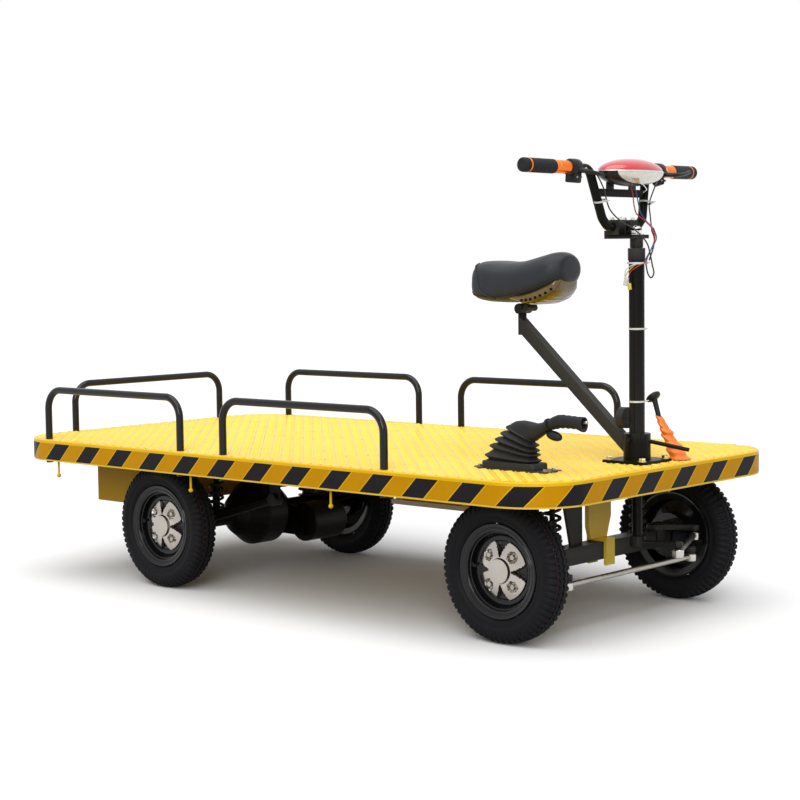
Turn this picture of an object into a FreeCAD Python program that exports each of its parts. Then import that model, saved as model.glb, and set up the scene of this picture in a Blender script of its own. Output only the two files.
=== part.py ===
import FreeCAD
import Part
import math
import os
import re
import Sketcher
from FreeCAD import Placement, Rotation, Vector

os.makedirs("parts", exist_ok=True)
doc = FreeCAD.newDocument("ElectricFlatbedCart")

# Driving sizes in millimetres. X points forward, Y to the cart's left and Z up from the ground;
# the origin lies under the middle of the deck.
SIZES = (
    # alias, millimetres or a formula on the aliases above it
    ("deck_length", 1940),
    ("deck_width", 1000),
    ("deck_top", 400),
    ("deck_sheet", 3),
    ("deck_edge_radius", 4),
    ("skirt_height", 60),
    ("corner_radius", 150),
    ("frame_tube", 40),
    ("rail_offset", 180),
    ("hoop_tube", 20),
    ("hoop_rise", 141),
    ("hoop_bend", 55),
    ("hoop_inset", 22),
    ("hoop_first", 144),
    ("hoop_pitch", 732),
    ("hoop_span", 565),
    ("rear_hoop_span", 576),
    ("leg_foot", 333),
    ("nut_height", 12),
    ("nut_radius", 15),
    ("pin_wire", 6),
    ("pin_drop", 59),
    ("pin_ball", 12),
    ("tyre_radius", 172),
    ("tyre_width", 74),
    ("rim_flange", 112),
    ("rim_barrel", 97),
    ("rim_width", 60),
    ("rim_sheet", 4),
    ("hub_length", 70),
    ("drum_radius", 58),
    ("cap_radius", 70),
    ("half_track", 361),
    ("front_overhang", 226),
    ("rear_overhang", 516),
    ("front_axle_x", "=deck_length / 2 - front_overhang"),
    ("rear_axle_x", "=rear_overhang - deck_length / 2"),
    ("spindle", 20),
    ("running_gap", 0.3),
    ("beam_height", 43),
    ("beam_depth", 44),
    ("beam_bottom", 153),
    ("kingpin_y", 262),
    ("kingpin", 20),
    ("boss_radius", 25),
    ("lug_height", 13),
    ("tie_arm", 106),
    ("drag_arm_x", 88),
    ("drag_arm_y", 45),
    ("rod_thickness", 14),
    ("column_setback", 104),
    ("column_x", "=deck_length / 2 - column_setback"),
    ("stem_diameter", 25),
    ("column_tube_diameter", 38),
    ("column_top", 918),
    ("sleeve_diameter", 42),
    ("collar_diameter", 66),
    ("collar_top", 471),
    ("flange_size", 120),
    ("flange_thickness", 8),
    ("housing_size", 40),
    ("housing_bottom", 336),
    ("arm_tube", 26),
    ("post_reach", 350),
    ("post_x", "=column_x - post_reach"),
    ("post_diameter", 22),
    ("post_top", 783),
    ("saddle_width", 186),
    ("bar_diameter", 22),
    ("bar_reach", 41),
    ("bar_x", "=column_x - bar_reach"),
    ("grip_length", 108),
    ("grip_diameter", 34),
    ("grip_end", 353),
    ("boot_setback", 249),
    ("boot_inset", 205),
    ("boot_x", "=deck_length / 2 - boot_setback"),
    ("boot_y", "=boot_inset - deck_width / 2"),
    ("boot_length", 162),
    ("boot_width", 66),
    ("shift_setback", 48),
    ("shift_x", "=deck_length / 2 - shift_setback"),
    ("shift_y", 105),
    ("shift_boot_radius", 28),
    ("shift_boot_height", 106),
    ("spring_radius", 22),
    ("spring_wire", 9),
    ("axle_tube_diameter", 52),
    ("diff_radius", 92),
    ("motor_diameter", 114),
    ("link_y", 240),
    ("link_reach", 304),
    ("link_hinge_z", 254),
    ("battery_setback", 135),
    ("battery_length", 230),
    ("battery_width", 600),
    ("battery_bottom", 206),
    ("board_setback", 739),
    ("board_length", 264),
    ("board_width", 380),
    ("board_thickness", 12),
    ("board_top", 280),
    ("hanger_width", 20),
)
sheet = doc.addObject("Spreadsheet::Sheet", "Sizes")
for row, (alias, number) in enumerate(SIZES, start=1):
    sheet.set(f"A{row}", alias)
    sheet.set(f"B{row}", str(number))
    sheet.setAlias(f"B{row}", alias)
doc.recompute()
ALIASES = {alias for alias, number in SIZES}
NODES = []


def formula(text):
    """A formula on the sheet's aliases, as the document reads it."""
    return re.sub(r"[a-z_]+", lambda word: "Sizes." + word[0] if word[0] in ALIASES else word[0], str(text))


def value(text):
    return float(sheet.evalExpression(formula(text)))


def bind(thing, **sizes):
    for name, text in sizes.items():
        thing.setExpression(name, formula(text))
    return thing


def place(thing, x, y, z, rotation=Rotation()):
    """Move a thing to a bound place; a turned thing keeps its fixed rotation."""
    thing.Placement = Placement(Vector(value(x), value(y), value(z)), rotation)
    for axis, text in zip("xyz", (x, y, z)):
        thing.setExpression(f"Placement.Base.{axis}", formula(text))
    return thing


def box(name, length, width, height, x, y, z):
    """A block from its lowest corner."""
    block = bind(doc.addObject("Part::Box", name), Length=length, Width=width, Height=height)
    return place(block, x, y, z)


TURNS = {
    "X": Rotation(Vector(0, 1, 0), 90),
    "Y": Rotation(Vector(1, 0, 0), -90),
    "Z": Rotation(),
}


def rod(name, radius, length, x, y, z, axis="Z"):
    """A round bar from its start, along +X, +Y or +Z."""
    bar = bind(doc.addObject("Part::Cylinder", name), Radius=radius, Height=length)
    return place(bar, x, y, z, TURNS[axis])


def cone(name, low, high, height, x, y, z):
    frustum = bind(doc.addObject("Part::Cone", name), Radius1=low, Radius2=high, Height=height)
    return place(frustum, x, y, z)


def slanted_rod(name, radius, start, end):
    """A round bar between two points, each a tuple of formulas."""
    first = Vector(*[value(text) for text in start])
    last = Vector(*[value(text) for text in end])
    bar = bind(doc.addObject("Part::Cylinder", name), Radius=radius)
    bar.Height = (last - first).Length
    return place(bar, *start, Rotation(Vector(0, 0, 1), last - first))


def fuse(name, things):
    joined = doc.addObject("Part::MultiFuse", name)
    joined.Shapes = things
    joined.Refine = True
    return joined


def cut(name, base, tool):
    carved = doc.addObject("Part::Cut", name)
    carved.Base = base
    carved.Tool = tool
    return carved


def node(thing, label):
    """Hand a finished piece over under the name of its own file."""
    thing.Label = label
    NODES.append(thing)
    return thing


def outline(body, name, plane, corners):
    """A closed sketch. Each corner is (x, y, radius of the edge that leaves it); 0 is a straight edge,
    a positive radius bulges to the right of the way and a negative one to the left."""
    sketch = body.newObject("Sketcher::SketchObject", name)
    support = next(item for item in body.Origin.OriginFeatures if item.Role == plane)
    sketch.AttachmentSupport = [(support, "")]
    sketch.MapMode = "FlatFace"
    points = [Vector(value(x), value(y), 0) for x, y, radius in corners]
    starts = []
    for index, (x, y, radius) in enumerate(corners):
        start = points[index]
        end = points[(index + 1) % len(points)]
        bulge = value(radius)
        starts.append(1 if bulge >= 0 else 2)
        if bulge == 0:
            sketch.addGeometry(Part.LineSegment(start, end))
            continue
        side = Vector(start.y - end.y, end.x - start.x, 0).normalize()
        reach = math.sqrt(bulge * bulge - (end - start).Length ** 2 / 4)
        centre = (start + end) * 0.5 + side * math.copysign(reach, bulge)
        top = centre - side * bulge
        sketch.addGeometry(Part.Arc(start, top, end) if bulge > 0 else Part.Arc(end, top, start))
    for index, (x, y, radius) in enumerate(corners):
        following = (index + 1) % len(corners)
        last = 3 - starts[index]
        sketch.addConstraint(Sketcher.Constraint("Coincident", index, last, following, starts[following]))
    for index, (x, y, radius) in enumerate(corners):
        for kind, text in (("DistanceX", x), ("DistanceY", y)):
            size = Sketcher.Constraint(kind, -1, 1, index, starts[index], value(text))
            number = sketch.addConstraint(size)
            sketch.setExpression(f"Constraints[{number}]", formula(text))
        if value(radius) != 0:
            number = sketch.addConstraint(Sketcher.Constraint("Radius", index, abs(value(radius))))
            sketch.setExpression(f"Constraints[{number}]", f"abs({formula(radius)})")
    return sketch


def rounded(half_length, half_width, radius):
    """The corners of a rounded rectangle round the sketch's origin; the quarter arcs bulge outward."""
    return (
        (f"-({half_length}) + {radius}", f"-({half_width})", 0),
        (f"{half_length} - ({radius})", f"-({half_width})", radius),
        (half_length, f"-({half_width}) + {radius}", 0),
        (half_length, f"{half_width} - ({radius})", radius),
        (f"{half_length} - ({radius})", half_width, 0),
        (f"-({half_length}) + {radius}", half_width, radius),
        (f"-({half_length})", f"{half_width} - ({radius})", 0),
        (f"-({half_length})", f"-({half_width}) + {radius}", radius),
    )


def plate(name, plane, corners, depth, middle=False):
    """An outline given a thickness, from its plane or to both sides of it."""
    body = doc.addObject("PartDesign::Body", name)
    sketch = outline(body, name + "_outline", plane, corners)
    pad = body.newObject("PartDesign::Pad", name + "_pad")
    pad.Profile = sketch
    bind(pad, Length=depth)
    pad.Midplane = middle
    return body


def spun(name, corners, plane="XY_Plane"):
    """A ring or knob spun about the sketch's upright axis: Y of the body on its XY plane, Z on XZ."""
    body = doc.addObject("PartDesign::Body", name)
    sketch = outline(body, name + "_profile", plane, corners)
    turn = body.newObject("PartDesign::Revolution", name + "_turn")
    turn.Profile = sketch
    turn.ReferenceAxis = (sketch, ["V_Axis"])
    turn.Angle = 360
    return body


def bent_tube(name, points, radius, bend):
    """A round tube along straight runs joined by arcs; points are tuples of formulas."""
    path = [Vector(*[value(text) for text in point]) for point in points]
    arc = value(bend)
    edges = []
    start = path[0]
    for before, corner, after in zip(path, path[1:], path[2:]):
        inward = (before - corner).normalize()
        outward = (after - corner).normalize()
        half = inward.getAngle(outward) / 2
        trim = arc / math.tan(half)
        centre = corner + (inward + outward).normalize() * (arc / math.sin(half))
        first = corner + inward * trim
        last = corner + outward * trim
        top = centre + (corner - centre).normalize() * arc
        edges += [Part.makeLine(start, first), Part.Arc(first, top, last).toShape()]
        start = last
    edges.append(Part.makeLine(start, path[-1]))
    spine = doc.addObject("Part::Feature", name + "_line")
    spine.Shape = Part.Wire(edges)
    ring = bind(doc.addObject("Part::Circle", name + "_section"), Radius=radius)
    place(ring, *points[0], Rotation(Vector(0, 0, 1), path[1] - path[0]))
    tube = doc.addObject("Part::Sweep", name)
    tube.Sections = [ring]
    tube.Spine = (spine, [f"Edge{number}" for number in range(1, len(edges) + 1)])
    tube.Solid = True
    return tube


# Deck: a yellow checker-plate tray with a folded skirt, open below
deck_tray = doc.addObject("PartDesign::Body", "deck_tray")
deck_outline = outline(deck_tray, "deck_outline", "XY_Plane",
                       rounded("deck_length / 2", "deck_width / 2", "corner_radius"))
deck_pad = deck_tray.newObject("PartDesign::Pad", "deck_pad")
deck_pad.Profile = deck_outline
bind(deck_pad, Length="skirt_height")
doc.recompute()
top_edges = [f"Edge{number}" for number, edge in enumerate(deck_pad.Shape.Edges, start=1)
             if abs(edge.BoundBox.ZMin - value("skirt_height")) < 0.001]
deck_fold = deck_tray.newObject("PartDesign::Fillet", "deck_fold")
deck_fold.Base = (deck_pad, top_edges)
bind(deck_fold, Radius="deck_edge_radius")
hollow = outline(deck_tray, "hollow_outline", "XY_Plane",
                 rounded("(deck_length / 2 - deck_sheet)", "(deck_width / 2 - deck_sheet)",
                         "(corner_radius - deck_sheet)"))
deck_hollow = deck_tray.newObject("PartDesign::Pocket", "deck_hollow")
deck_hollow.Profile = hollow
deck_hollow.Reversed = True
bind(deck_hollow, Length="skirt_height - deck_sheet")
place(deck_tray, "0", "0", "deck_top - skirt_height")

# Hoops: five black tubes bent over the deck's edge, their legs through the deck and its edge rails
SIDE_Y = "(deck_width / 2 - hoop_inset)"
REAR_X = "(-deck_length / 2 + hoop_inset)"
FIRST_LEG = "(-deck_length / 2 + hoop_first)"
SECOND_LEG = "(-deck_length / 2 + hoop_first + hoop_pitch)"
HOOPS = (
    # node, first leg x, y, second leg x, y
    ("hoop_rear_right", FIRST_LEG, f"-{SIDE_Y}", f"{FIRST_LEG} + hoop_span", f"-{SIDE_Y}"),
    ("hoop_front_right", SECOND_LEG, f"-{SIDE_Y}", f"{SECOND_LEG} + hoop_span", f"-{SIDE_Y}"),
    ("hoop_rear_left", FIRST_LEG, SIDE_Y, f"{FIRST_LEG} + hoop_span", SIDE_Y),
    ("hoop_front_left", SECOND_LEG, SIDE_Y, f"{SECOND_LEG} + hoop_span", SIDE_Y),
    ("hoop_rear", REAR_X, "-rear_hoop_span / 2", REAR_X, "rear_hoop_span / 2"),
)
HOOP_TOP = "deck_top + hoop_rise"
leg_holes = []
for label, first_x, first_y, last_x, last_y in HOOPS:
    route = ((first_x, first_y, "leg_foot"), (first_x, first_y, HOOP_TOP),
             (last_x, last_y, HOOP_TOP), (last_x, last_y, "leg_foot"))
    pieces = [bent_tube(label + "_tube", route, "hoop_tube / 2", "hoop_bend")]
    for number, (x, y) in enumerate(((first_x, first_y), (last_x, last_y))):
        nut = bind(doc.addObject("Part::Prism", f"{label}_nut{number}"),
                   Circumradius="nut_radius", Height="nut_height")
        nut.Polygon = 6
        place(nut, x, y, "deck_top - deck_sheet - frame_tube - nut_height")
        pieces.append(nut)
        leg_holes.append(rod(f"{label}_hole{number}", "hoop_tube / 2 + running_gap",
                             "skirt_height", x, y, "deck_top - skirt_height"))
    node(fuse(label, pieces), label)
leg_hole_set = fuse("leg_hole_set", leg_holes)

column_hole = rod("column_hole", "stem_diameter / 2 + running_gap", "skirt_height",
                  "column_x", "0", "deck_top - skirt_height")
deck_holes = fuse("deck_holes", [leg_hole_set, column_hole])
node(cut("deck", deck_tray, deck_holes), "deck")

# Frame: square tubes under the deck sheet; the edge rails carry the hoops
RAIL_Z = "deck_top - deck_sheet - frame_tube"
EDGE_Y = "(deck_width / 2 - deck_sheet - frame_tube)"
EDGE_X = "(deck_length / 2 - deck_sheet - frame_tube)"
STRAIGHT_X = "(deck_length / 2 - corner_radius)"
STRAIGHT_Y = "(deck_width / 2 - corner_radius)"
edge_rails = fuse("edge_bars", [
    box("edge_left", f"2 * {STRAIGHT_X}", "frame_tube", "frame_tube", f"-{STRAIGHT_X}", EDGE_Y, RAIL_Z),
    box("edge_right", f"2 * {STRAIGHT_X}", "frame_tube", "frame_tube", f"-{STRAIGHT_X}",
        f"-{EDGE_Y} - frame_tube", RAIL_Z),
    box("edge_front", "frame_tube", f"2 * {STRAIGHT_Y}", "frame_tube", EDGE_X, f"-{STRAIGHT_Y}", RAIL_Z),
    box("edge_rear", "frame_tube", f"2 * {STRAIGHT_Y}", "frame_tube", f"-{EDGE_X} - frame_tube",
        f"-{STRAIGHT_Y}", RAIL_Z),
])
node(cut("edge_rails", edge_rails, leg_hole_set), "edge_rails")
RAIL_SIDE = "(rail_offset - frame_tube / 2)"
BOARD_X = "(deck_length / 2 - board_setback)"
HANGERS = (
    # x, side
    (f"{BOARD_X} + hanger_width / 2", -1),
    (f"{BOARD_X} + board_length - 3 / 2 * hanger_width", -1),
    (f"{BOARD_X} + hanger_width / 2", 1),
    (f"{BOARD_X} + board_length - 3 / 2 * hanger_width", 1),
)
centre_parts = [
    box(f"centre_rail{side}", f"2 * {EDGE_X}", "frame_tube", "frame_tube", f"-{EDGE_X}",
        f"{side} * rail_offset - frame_tube / 2", RAIL_Z)
    for side in (-1, 1)
]
for number, (x, side) in enumerate(HANGERS):
    centre_parts.append(box(f"hanger{number}", "hanger_width", "6", f"{RAIL_Z} - board_top", x,
                            f"{side} * rail_offset - 3", "board_top"))
node(fuse("centre_rails", centre_parts), "centre_rails")
CROSS_X = ("(column_setback - 14 - deck_length / 2)", "rear_axle_x", "(rear_axle_x + link_reach)",
           "deck_length * 0.082", "deck_length * 0.232", "front_axle_x", "column_x")
crosses = []
for number, x in enumerate(CROSS_X):
    spans = [(f"-{EDGE_Y}", f"-{RAIL_SIDE} - frame_tube"), (f"{RAIL_SIDE} + frame_tube", EDGE_Y)]
    if x == "column_x":
        spans += [(f"-{RAIL_SIDE}", "-housing_size / 2"), ("housing_size / 2", RAIL_SIDE)]
        spans = spans[2:]
    else:
        spans.append((f"-{RAIL_SIDE}", RAIL_SIDE))
    for part, (low, high) in enumerate(spans):
        crosses.append(box(f"cross{number}_{part}", "frame_tube", f"({high}) - ({low})", "frame_tube",
                           f"{x} - frame_tube / 2", low, RAIL_Z))
node(fuse("cross_members", crosses), "cross_members")

# Rope pins: short yellow rods with ball ends under the side rails
pins = []
for number, x in enumerate((f"{FIRST_LEG} + 2 * hoop_tube", f"{SECOND_LEG} - deck_length * 0.066",
                            f"{SECOND_LEG} + hoop_span - deck_length * 0.092")):
    for side in (-1, 1):
        pin_y = f"{side} * {SIDE_Y}"
        pin_foot = f"{RAIL_Z} - pin_drop"
        ball = bind(doc.addObject("Part::Sphere", f"pin_ball{number}{side}"), Radius="pin_ball / 2")
        place(ball, x, pin_y, pin_foot)
        pins += [rod(f"pin_wire{number}{side}", "pin_wire / 2", "pin_drop", x, pin_y, pin_foot), ball]
node(fuse("rope_pins", pins), "rope_pins")

# Steering column: flange and collar on the deck, a fixed outer tube, and a square housing below
collar_parts = fuse("collar_parts", [
    box("flange", "flange_size", "flange_size", "flange_thickness",
        "column_x - flange_size / 2", "-flange_size / 2", "deck_top"),
    rod("collar", "collar_diameter / 2", "collar_top - deck_top", "column_x", "0", "deck_top"),
    slanted_rod("collar_peg", "5", ("column_x + 22", "15", "collar_top - 19"),
                ("column_x + 98", "78", "collar_top - 42")),
    rod("collar_screw", "6", "10", "column_x", "-collar_diameter / 2 - 6", "collar_top - 14", "Y"),
])
STEM_BORE = "stem_diameter / 2 + running_gap"
flange_bore = rod("flange_bore", STEM_BORE, "2 * flange_thickness", "column_x", "0",
                  "deck_top - flange_thickness / 2")
tube_seat = rod("tube_seat", "column_tube_diameter / 2", "collar_top", "column_x", "0",
                "deck_top + flange_thickness")
column_bores = fuse("column_bores", [flange_bore, tube_seat])
column_base = node(cut("column_base", collar_parts, column_bores), "column_base")
node(spun("column_tube", (
    (STEM_BORE, "deck_top + flange_thickness", 0),
    ("column_tube_diameter / 2", "deck_top + flange_thickness", 0),
    ("column_tube_diameter / 2", "column_top - 30", 0),
    ("sleeve_diameter / 2", "column_top - 30", 0),
    ("sleeve_diameter / 2", "column_top", 0),
    (STEM_BORE, "column_top", 0),
), "XZ_Plane"), "column_tube")
place(NODES[-1], "column_x", "0", "0")
housing_block = box("housing_block", "housing_size", "housing_size",
                    "deck_top - deck_sheet - housing_bottom", "column_x - housing_size / 2",
                    "-housing_size / 2", "housing_bottom")
housing_bore = rod("housing_bore", STEM_BORE, "deck_top", "column_x", "0", "0")
node(cut("column_housing", housing_block, housing_bore), "column_housing")

# Seat: a square tube arm from the collar to an upright post, with a padded saddle on a moulded pan
arm_profile = plate("arm_profile", "XZ_Plane", (
    ("column_x", "deck_top - 3", 0),
    ("column_x", "deck_top + 34", 0),
    ("post_x", "deck_top + 350", 0),
    ("post_x", "deck_top + 310", 0),
), "arm_tube", middle=True)
arm_seats = fuse("arm_seats", [
    rod("collar_seat", "collar_diameter / 2", "collar_top", "column_x", "0", "0"),
    rod("post_seat", "post_diameter / 2", "deck_top * 2", "post_x", "0", "deck_top"),
    box("arm_floor", "deck_length", "deck_width", "22", "0", "-deck_width / 2", "deck_top"),
])
node(cut("seat_arm", arm_profile, arm_seats), "seat_arm")
POST_FOOT = "deck_top + 303"
node(fuse("seat_post", [
    rod("post_bar", "post_diameter / 2", f"post_top - ({POST_FOOT})", "post_x", "0", POST_FOOT),
    rod("post_clamp", "13", "44", "post_x + 4", "-22", "post_top - 13", "Y"),
    rod("post_spring", "9", "40", "post_x + 25", "-20", "post_top - 11", "Y"),
]), "seat_post")

SADDLE_SIDE = (
    # x, z, radius of the edge that leaves this corner
    ("post_x - 126", "post_top + 8", 0),
    ("post_x + 30", "post_top + 4", 600),
    ("post_x + 152", "post_top + 50", 60),
    ("post_x + 148", "post_top + 112", 45),
    ("post_x + 105", "post_top + 120", -330),
    ("post_x - 105", "post_top + 96", 30),
    ("post_x - 130", "post_top + 70", 90),
)
saddle_block = plate("saddle_block", "XZ_Plane", SADDLE_SIDE, "saddle_width", middle=True)
saddle_plan = plate("saddle_plan", "XY_Plane", rounded("142", "saddle_width / 2", "82"), "deck_top")
place(saddle_plan, "post_x + 11", "0", "post_top - 100")
saddle = doc.addObject("Part::Common", "saddle")
saddle.Base = saddle_block
saddle.Tool = saddle_plan
node(saddle, "saddle")
pan_block = plate("pan_block", "XZ_Plane", (
    ("post_x - 104", "post_top", 0),
    ("post_x + 34", "post_top", "saddle_width * 1.6"),
    ("post_x + 138", "post_top + 34", 0),
    ("post_x + 150", "post_top + 49", 0),
    ("post_x + 30", "post_top + 49", 0),
    ("post_x - 104", "post_top + 49", 0),
), "saddle_width - 16", middle=True)
pan_plan = plate("pan_plan", "XY_Plane", rounded("134", "(saddle_width / 2 - 8)", "74"), "deck_top")
place(pan_plan, "post_x + 11", "0", "post_top - 100")
pan_common = doc.addObject("Part::Common", "pan_common")
pan_common.Base = pan_block
pan_common.Tool = pan_plan
node(cut("saddle_pan", pan_common, saddle_block), "saddle_pan")

# Handbrake: a plate, a folded rubber boot and a bent lever with a ribbed grip
node(box("handbrake_base", "boot_length + 64", "boot_width + 6", "4",
         "boot_x - boot_length / 2 - 29", "boot_y - boot_width / 2 - 3", "deck_top"), "handbrake_plate")
BOOT_FOLDS = (
    # in from the rim at the rear and at the front, crest height at the rear and at the front, width
    ("4", "12", "29", "20", "boot_width - 4"),
    ("18", "14", "52", "33", "boot_width - 8"),
    ("34", "16", "68", "43", "boot_width - 12"),
    ("50", "17", "83", "55", "boot_width - 16"),
    ("66", "18", "98", "69", "boot_width - 20"),
)
RIM_Z = "(deck_top + 4)"
REAR_RIM = "(boot_x - boot_length / 2)"
FRONT_RIM = "(boot_x + boot_length / 2)"
folds = [plate("boot_rim", "XY_Plane", rounded("boot_length / 2", "boot_width / 2", "16"), "15")]
place(folds[0], "boot_x", "boot_y", RIM_Z)
for number, (rear, front, rear_z, front_z, width) in enumerate(BOOT_FOLDS):
    fold = plate(f"boot_fold{number}", "XZ_Plane", (
        (f"{REAR_RIM} + {rear} + 10", f"{RIM_Z} + {rear_z} - 14", 0),
        (f"{FRONT_RIM} - {front} - 9", f"{RIM_Z} + {front_z} - 11", 0),
        (f"{FRONT_RIM} - {front}", f"{RIM_Z} + {front_z}", 0),
        (f"{FRONT_RIM} - {front} - 7", f"{RIM_Z} + {front_z} + 4", 0),
        (f"{REAR_RIM} + {rear} + 9", f"{RIM_Z} + {rear_z} + 6", 0),
        (f"{REAR_RIM} + {rear}", f"{RIM_Z} + {rear_z}", 0),
    ), width, middle=True)
    folds.append(place(fold, "0", "boot_y", "0"))
folds.append(place(plate("boot_dome", "XZ_Plane", (
    (f"{REAR_RIM} + 78", f"{RIM_Z} + 90", 0),
    (f"{FRONT_RIM} - 24", f"{RIM_Z} + 64", 0),
    (f"{FRONT_RIM} + 4", f"{RIM_Z} + 80", 0),
    (f"{FRONT_RIM} + 24", f"{RIM_Z} + 96", 0),
    (f"{FRONT_RIM} + 20", f"{RIM_Z} + 119", 0),
    (f"{FRONT_RIM} - 14", f"{RIM_Z} + 109", 0),
    (f"{REAR_RIM} + 108", f"{RIM_Z} + 114", 0),
    (f"{REAR_RIM} + 84", f"{RIM_Z} + 107", 0),
), "34", middle=True), "0", "boot_y", "0"))
LEVER_FOOT = ("boot_x + 60", "boot_y", "(deck_top + 94)")
LEVER_NECK = ("boot_x + 108", "boot_y", "(deck_top + 112)")
LEVER_TIP = ("boot_x + 204", "boot_y", "(deck_top + 120)")
lever_space = slanted_rod("lever_space", "8", LEVER_FOOT, LEVER_NECK)
node(cut("handbrake_boot", fuse("boot_parts", folds), lever_space), "handbrake_boot")
lever_knob = bind(doc.addObject("Part::Ellipsoid", "lever_knob"), Radius1="12", Radius2="22", Radius3="11")
place(lever_knob, "boot_x + 119", "boot_y", "deck_top + 86")
node(fuse("handbrake_lever", [
    slanted_rod("lever_bar", "8", LEVER_FOOT, LEVER_NECK),
    slanted_rod("lever_grip", "15", LEVER_NECK, LEVER_TIP),
    lever_knob,
]), "handbrake_lever")

# Shift lever: an orange rubber boot leaning back, with a short stalk and a mushroom knob
FOLDS = 6
shift_rings = []
for fold in range(FOLDS):
    share = f"{fold} / {FOLDS}"
    shrink = f"(1 - 0.66 * {share})"
    for half, (low, high) in enumerate(((0.84, 1.0), (1.0, 0.78))):
        shift_rings.append(cone(f"shift_fold{fold}{half}", f"shift_boot_radius * {shrink} * {low}",
                                f"shift_boot_radius * {shrink} * {high}",
                                f"shift_boot_height / {2 * FOLDS}",
                                f"shift_x - 72 * {share}", "shift_y",
                                f"deck_top + shift_boot_height * ({share} + {half} / {2 * FOLDS})"))
SHIFT_TOP = "(deck_top + shift_boot_height)"
STALK = (("shift_x - 62", "shift_y", f"{SHIFT_TOP} - 8"), ("shift_x - 79", "shift_y", f"{SHIFT_TOP} + 40"))
stalk_space = slanted_rod("stalk_space", "6.5", *STALK)
node(cut("shift_boot", fuse("shift_rings", shift_rings), stalk_space), "shift_boot")
node(fuse("shift_lever", [
    slanted_rod("shift_stalk", "6.5", *STALK),
    slanted_rod("shift_knob", "21", ("shift_x - 77", "shift_y", f"{SHIFT_TOP} + 37"),
                ("shift_x - 88", "shift_y", f"{SHIFT_TOP} + 50")),
]), "shift_lever")

# Horn: a small round horn on a bracket behind the column
horn_disc = rod("horn_disc", "26", "20", "column_x - 46", "0", "collar_top + 36", "X")
horn_stay = box("horn_stay", "30", "12", "8", "column_x - 30", "-6", "collar_top + 32")
horn_clear = rod("horn_clear", "column_tube_diameter / 2", "deck_top", "column_x", "0", "deck_top")
node(cut("horn", fuse("horn_parts", [horn_disc, horn_stay]), horn_clear), "horn")

# Boxes under the deck: the yellow battery box at the rear and a board on hangers amidships
node(box("battery", "battery_length", "battery_width", f"{RAIL_Z} - battery_bottom",
         "battery_setback - deck_length / 2", "-battery_width / 2", "battery_bottom"), "battery_box")
node(box("board", "board_length", "board_width", "board_thickness", BOARD_X, "-board_width / 2",
         "board_top - board_thickness"), "tray_board")

# Front axle: a square beam with kingpin bosses, hung on two coil springs and a centre post
BEAM_MID = "(beam_bottom + beam_height / 2)"
BOSS_LOW = "(beam_bottom + 5)"
BOSS_HEIGHT = "(beam_height - 7)"
axle_parts = [
    box("beam", "beam_depth", "2 * kingpin_y - 68", "beam_height", "front_axle_x - beam_depth / 2",
        "34 - kingpin_y", "beam_bottom"),
    box("beam_neck", "beam_depth - 12", "2 * kingpin_y", f"{BOSS_HEIGHT} - 12",
        "front_axle_x - beam_depth / 2 + 6", "-kingpin_y", f"{BOSS_LOW} + 6"),
]
for side in (-1, 1):
    axle_parts.append(rod(f"boss{side}", "boss_radius", BOSS_HEIGHT, "front_axle_x",
                          f"{side} * kingpin_y", BOSS_LOW))
    axle_parts.append(rod(f"kingpin{side}", "kingpin / 2", f"{BOSS_HEIGHT} + 2 * lug_height + 8",
                          "front_axle_x", f"{side} * kingpin_y", f"{BOSS_LOW} - lug_height - 4"))
bracket = plate("front_bracket", "YZ_Plane", (
    ("-64", "beam_bottom + beam_height", 0),
    ("-64", RAIL_Z, 0),
    ("-150", RAIL_Z, 0),
    ("-109", "beam_bottom + beam_height", 0),
), "8", middle=True)
axle_parts.append(place(bracket, "front_axle_x", "0", "0"))
node(fuse("front_axle", axle_parts), "front_axle")
BEAM_TOP = "(beam_bottom + beam_height)"
clamp_plates = [
    box(f"clamp_plate{number}", "8", "36", "beam_height + 24", x, "0", "beam_bottom - 16")
    for number, x in enumerate(("front_axle_x - beam_depth / 2 - 8", "front_axle_x + beam_depth / 2"))
]
clamp_bridge = box("clamp_bridge", "beam_depth", "36", "8", "front_axle_x - beam_depth / 2", "0", BEAM_TOP)
post_plate = plate("post_plate", "YZ_Plane", (
    ("-30", f"{BEAM_TOP} + 8", 0),
    ("36", f"{BEAM_TOP} + 8", 0),
    ("54", f"{BEAM_TOP} + 60", 0),
    ("54", RAIL_Z, 0),
    ("-40", RAIL_Z, 0),
    ("-40", f"{BEAM_TOP} + 40", 0),
), "12", middle=True)
place(post_plate, "front_axle_x", "0", "0")
node(fuse("front_post", clamp_plates + [clamp_bridge, post_plate]), "front_post")

# Coil springs between the axles and the centre rails
COILS = 6
SPRINGS = (
    # axle, foot of the spring
    ("front_axle_x", "beam_bottom + beam_height"),
    ("rear_axle_x", "tyre_radius + axle_tube_diameter / 2"),
)
springs = []
for axle, (x, foot) in enumerate(SPRINGS):
    rise = f"({RAIL_Z} - ({foot}))"
    for side in (-1, 1):
        y = f"{side} * rail_offset"
        springs.append(rod(f"damper{axle}{side}", "spring_radius - spring_wire / 2", rise, x, y, foot))
        for number in range(COILS):
            coil = bind(doc.addObject("Part::Torus", f"coil{axle}{side}{number}"),
                        Radius1="spring_radius - spring_wire / 2 + 1", Radius2="spring_wire / 2")
            springs.append(place(coil, x, y, f"{foot} + {rise} * {2 * number + 1} / {2 * COILS}"))
node(fuse("springs", springs), "springs")

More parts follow.
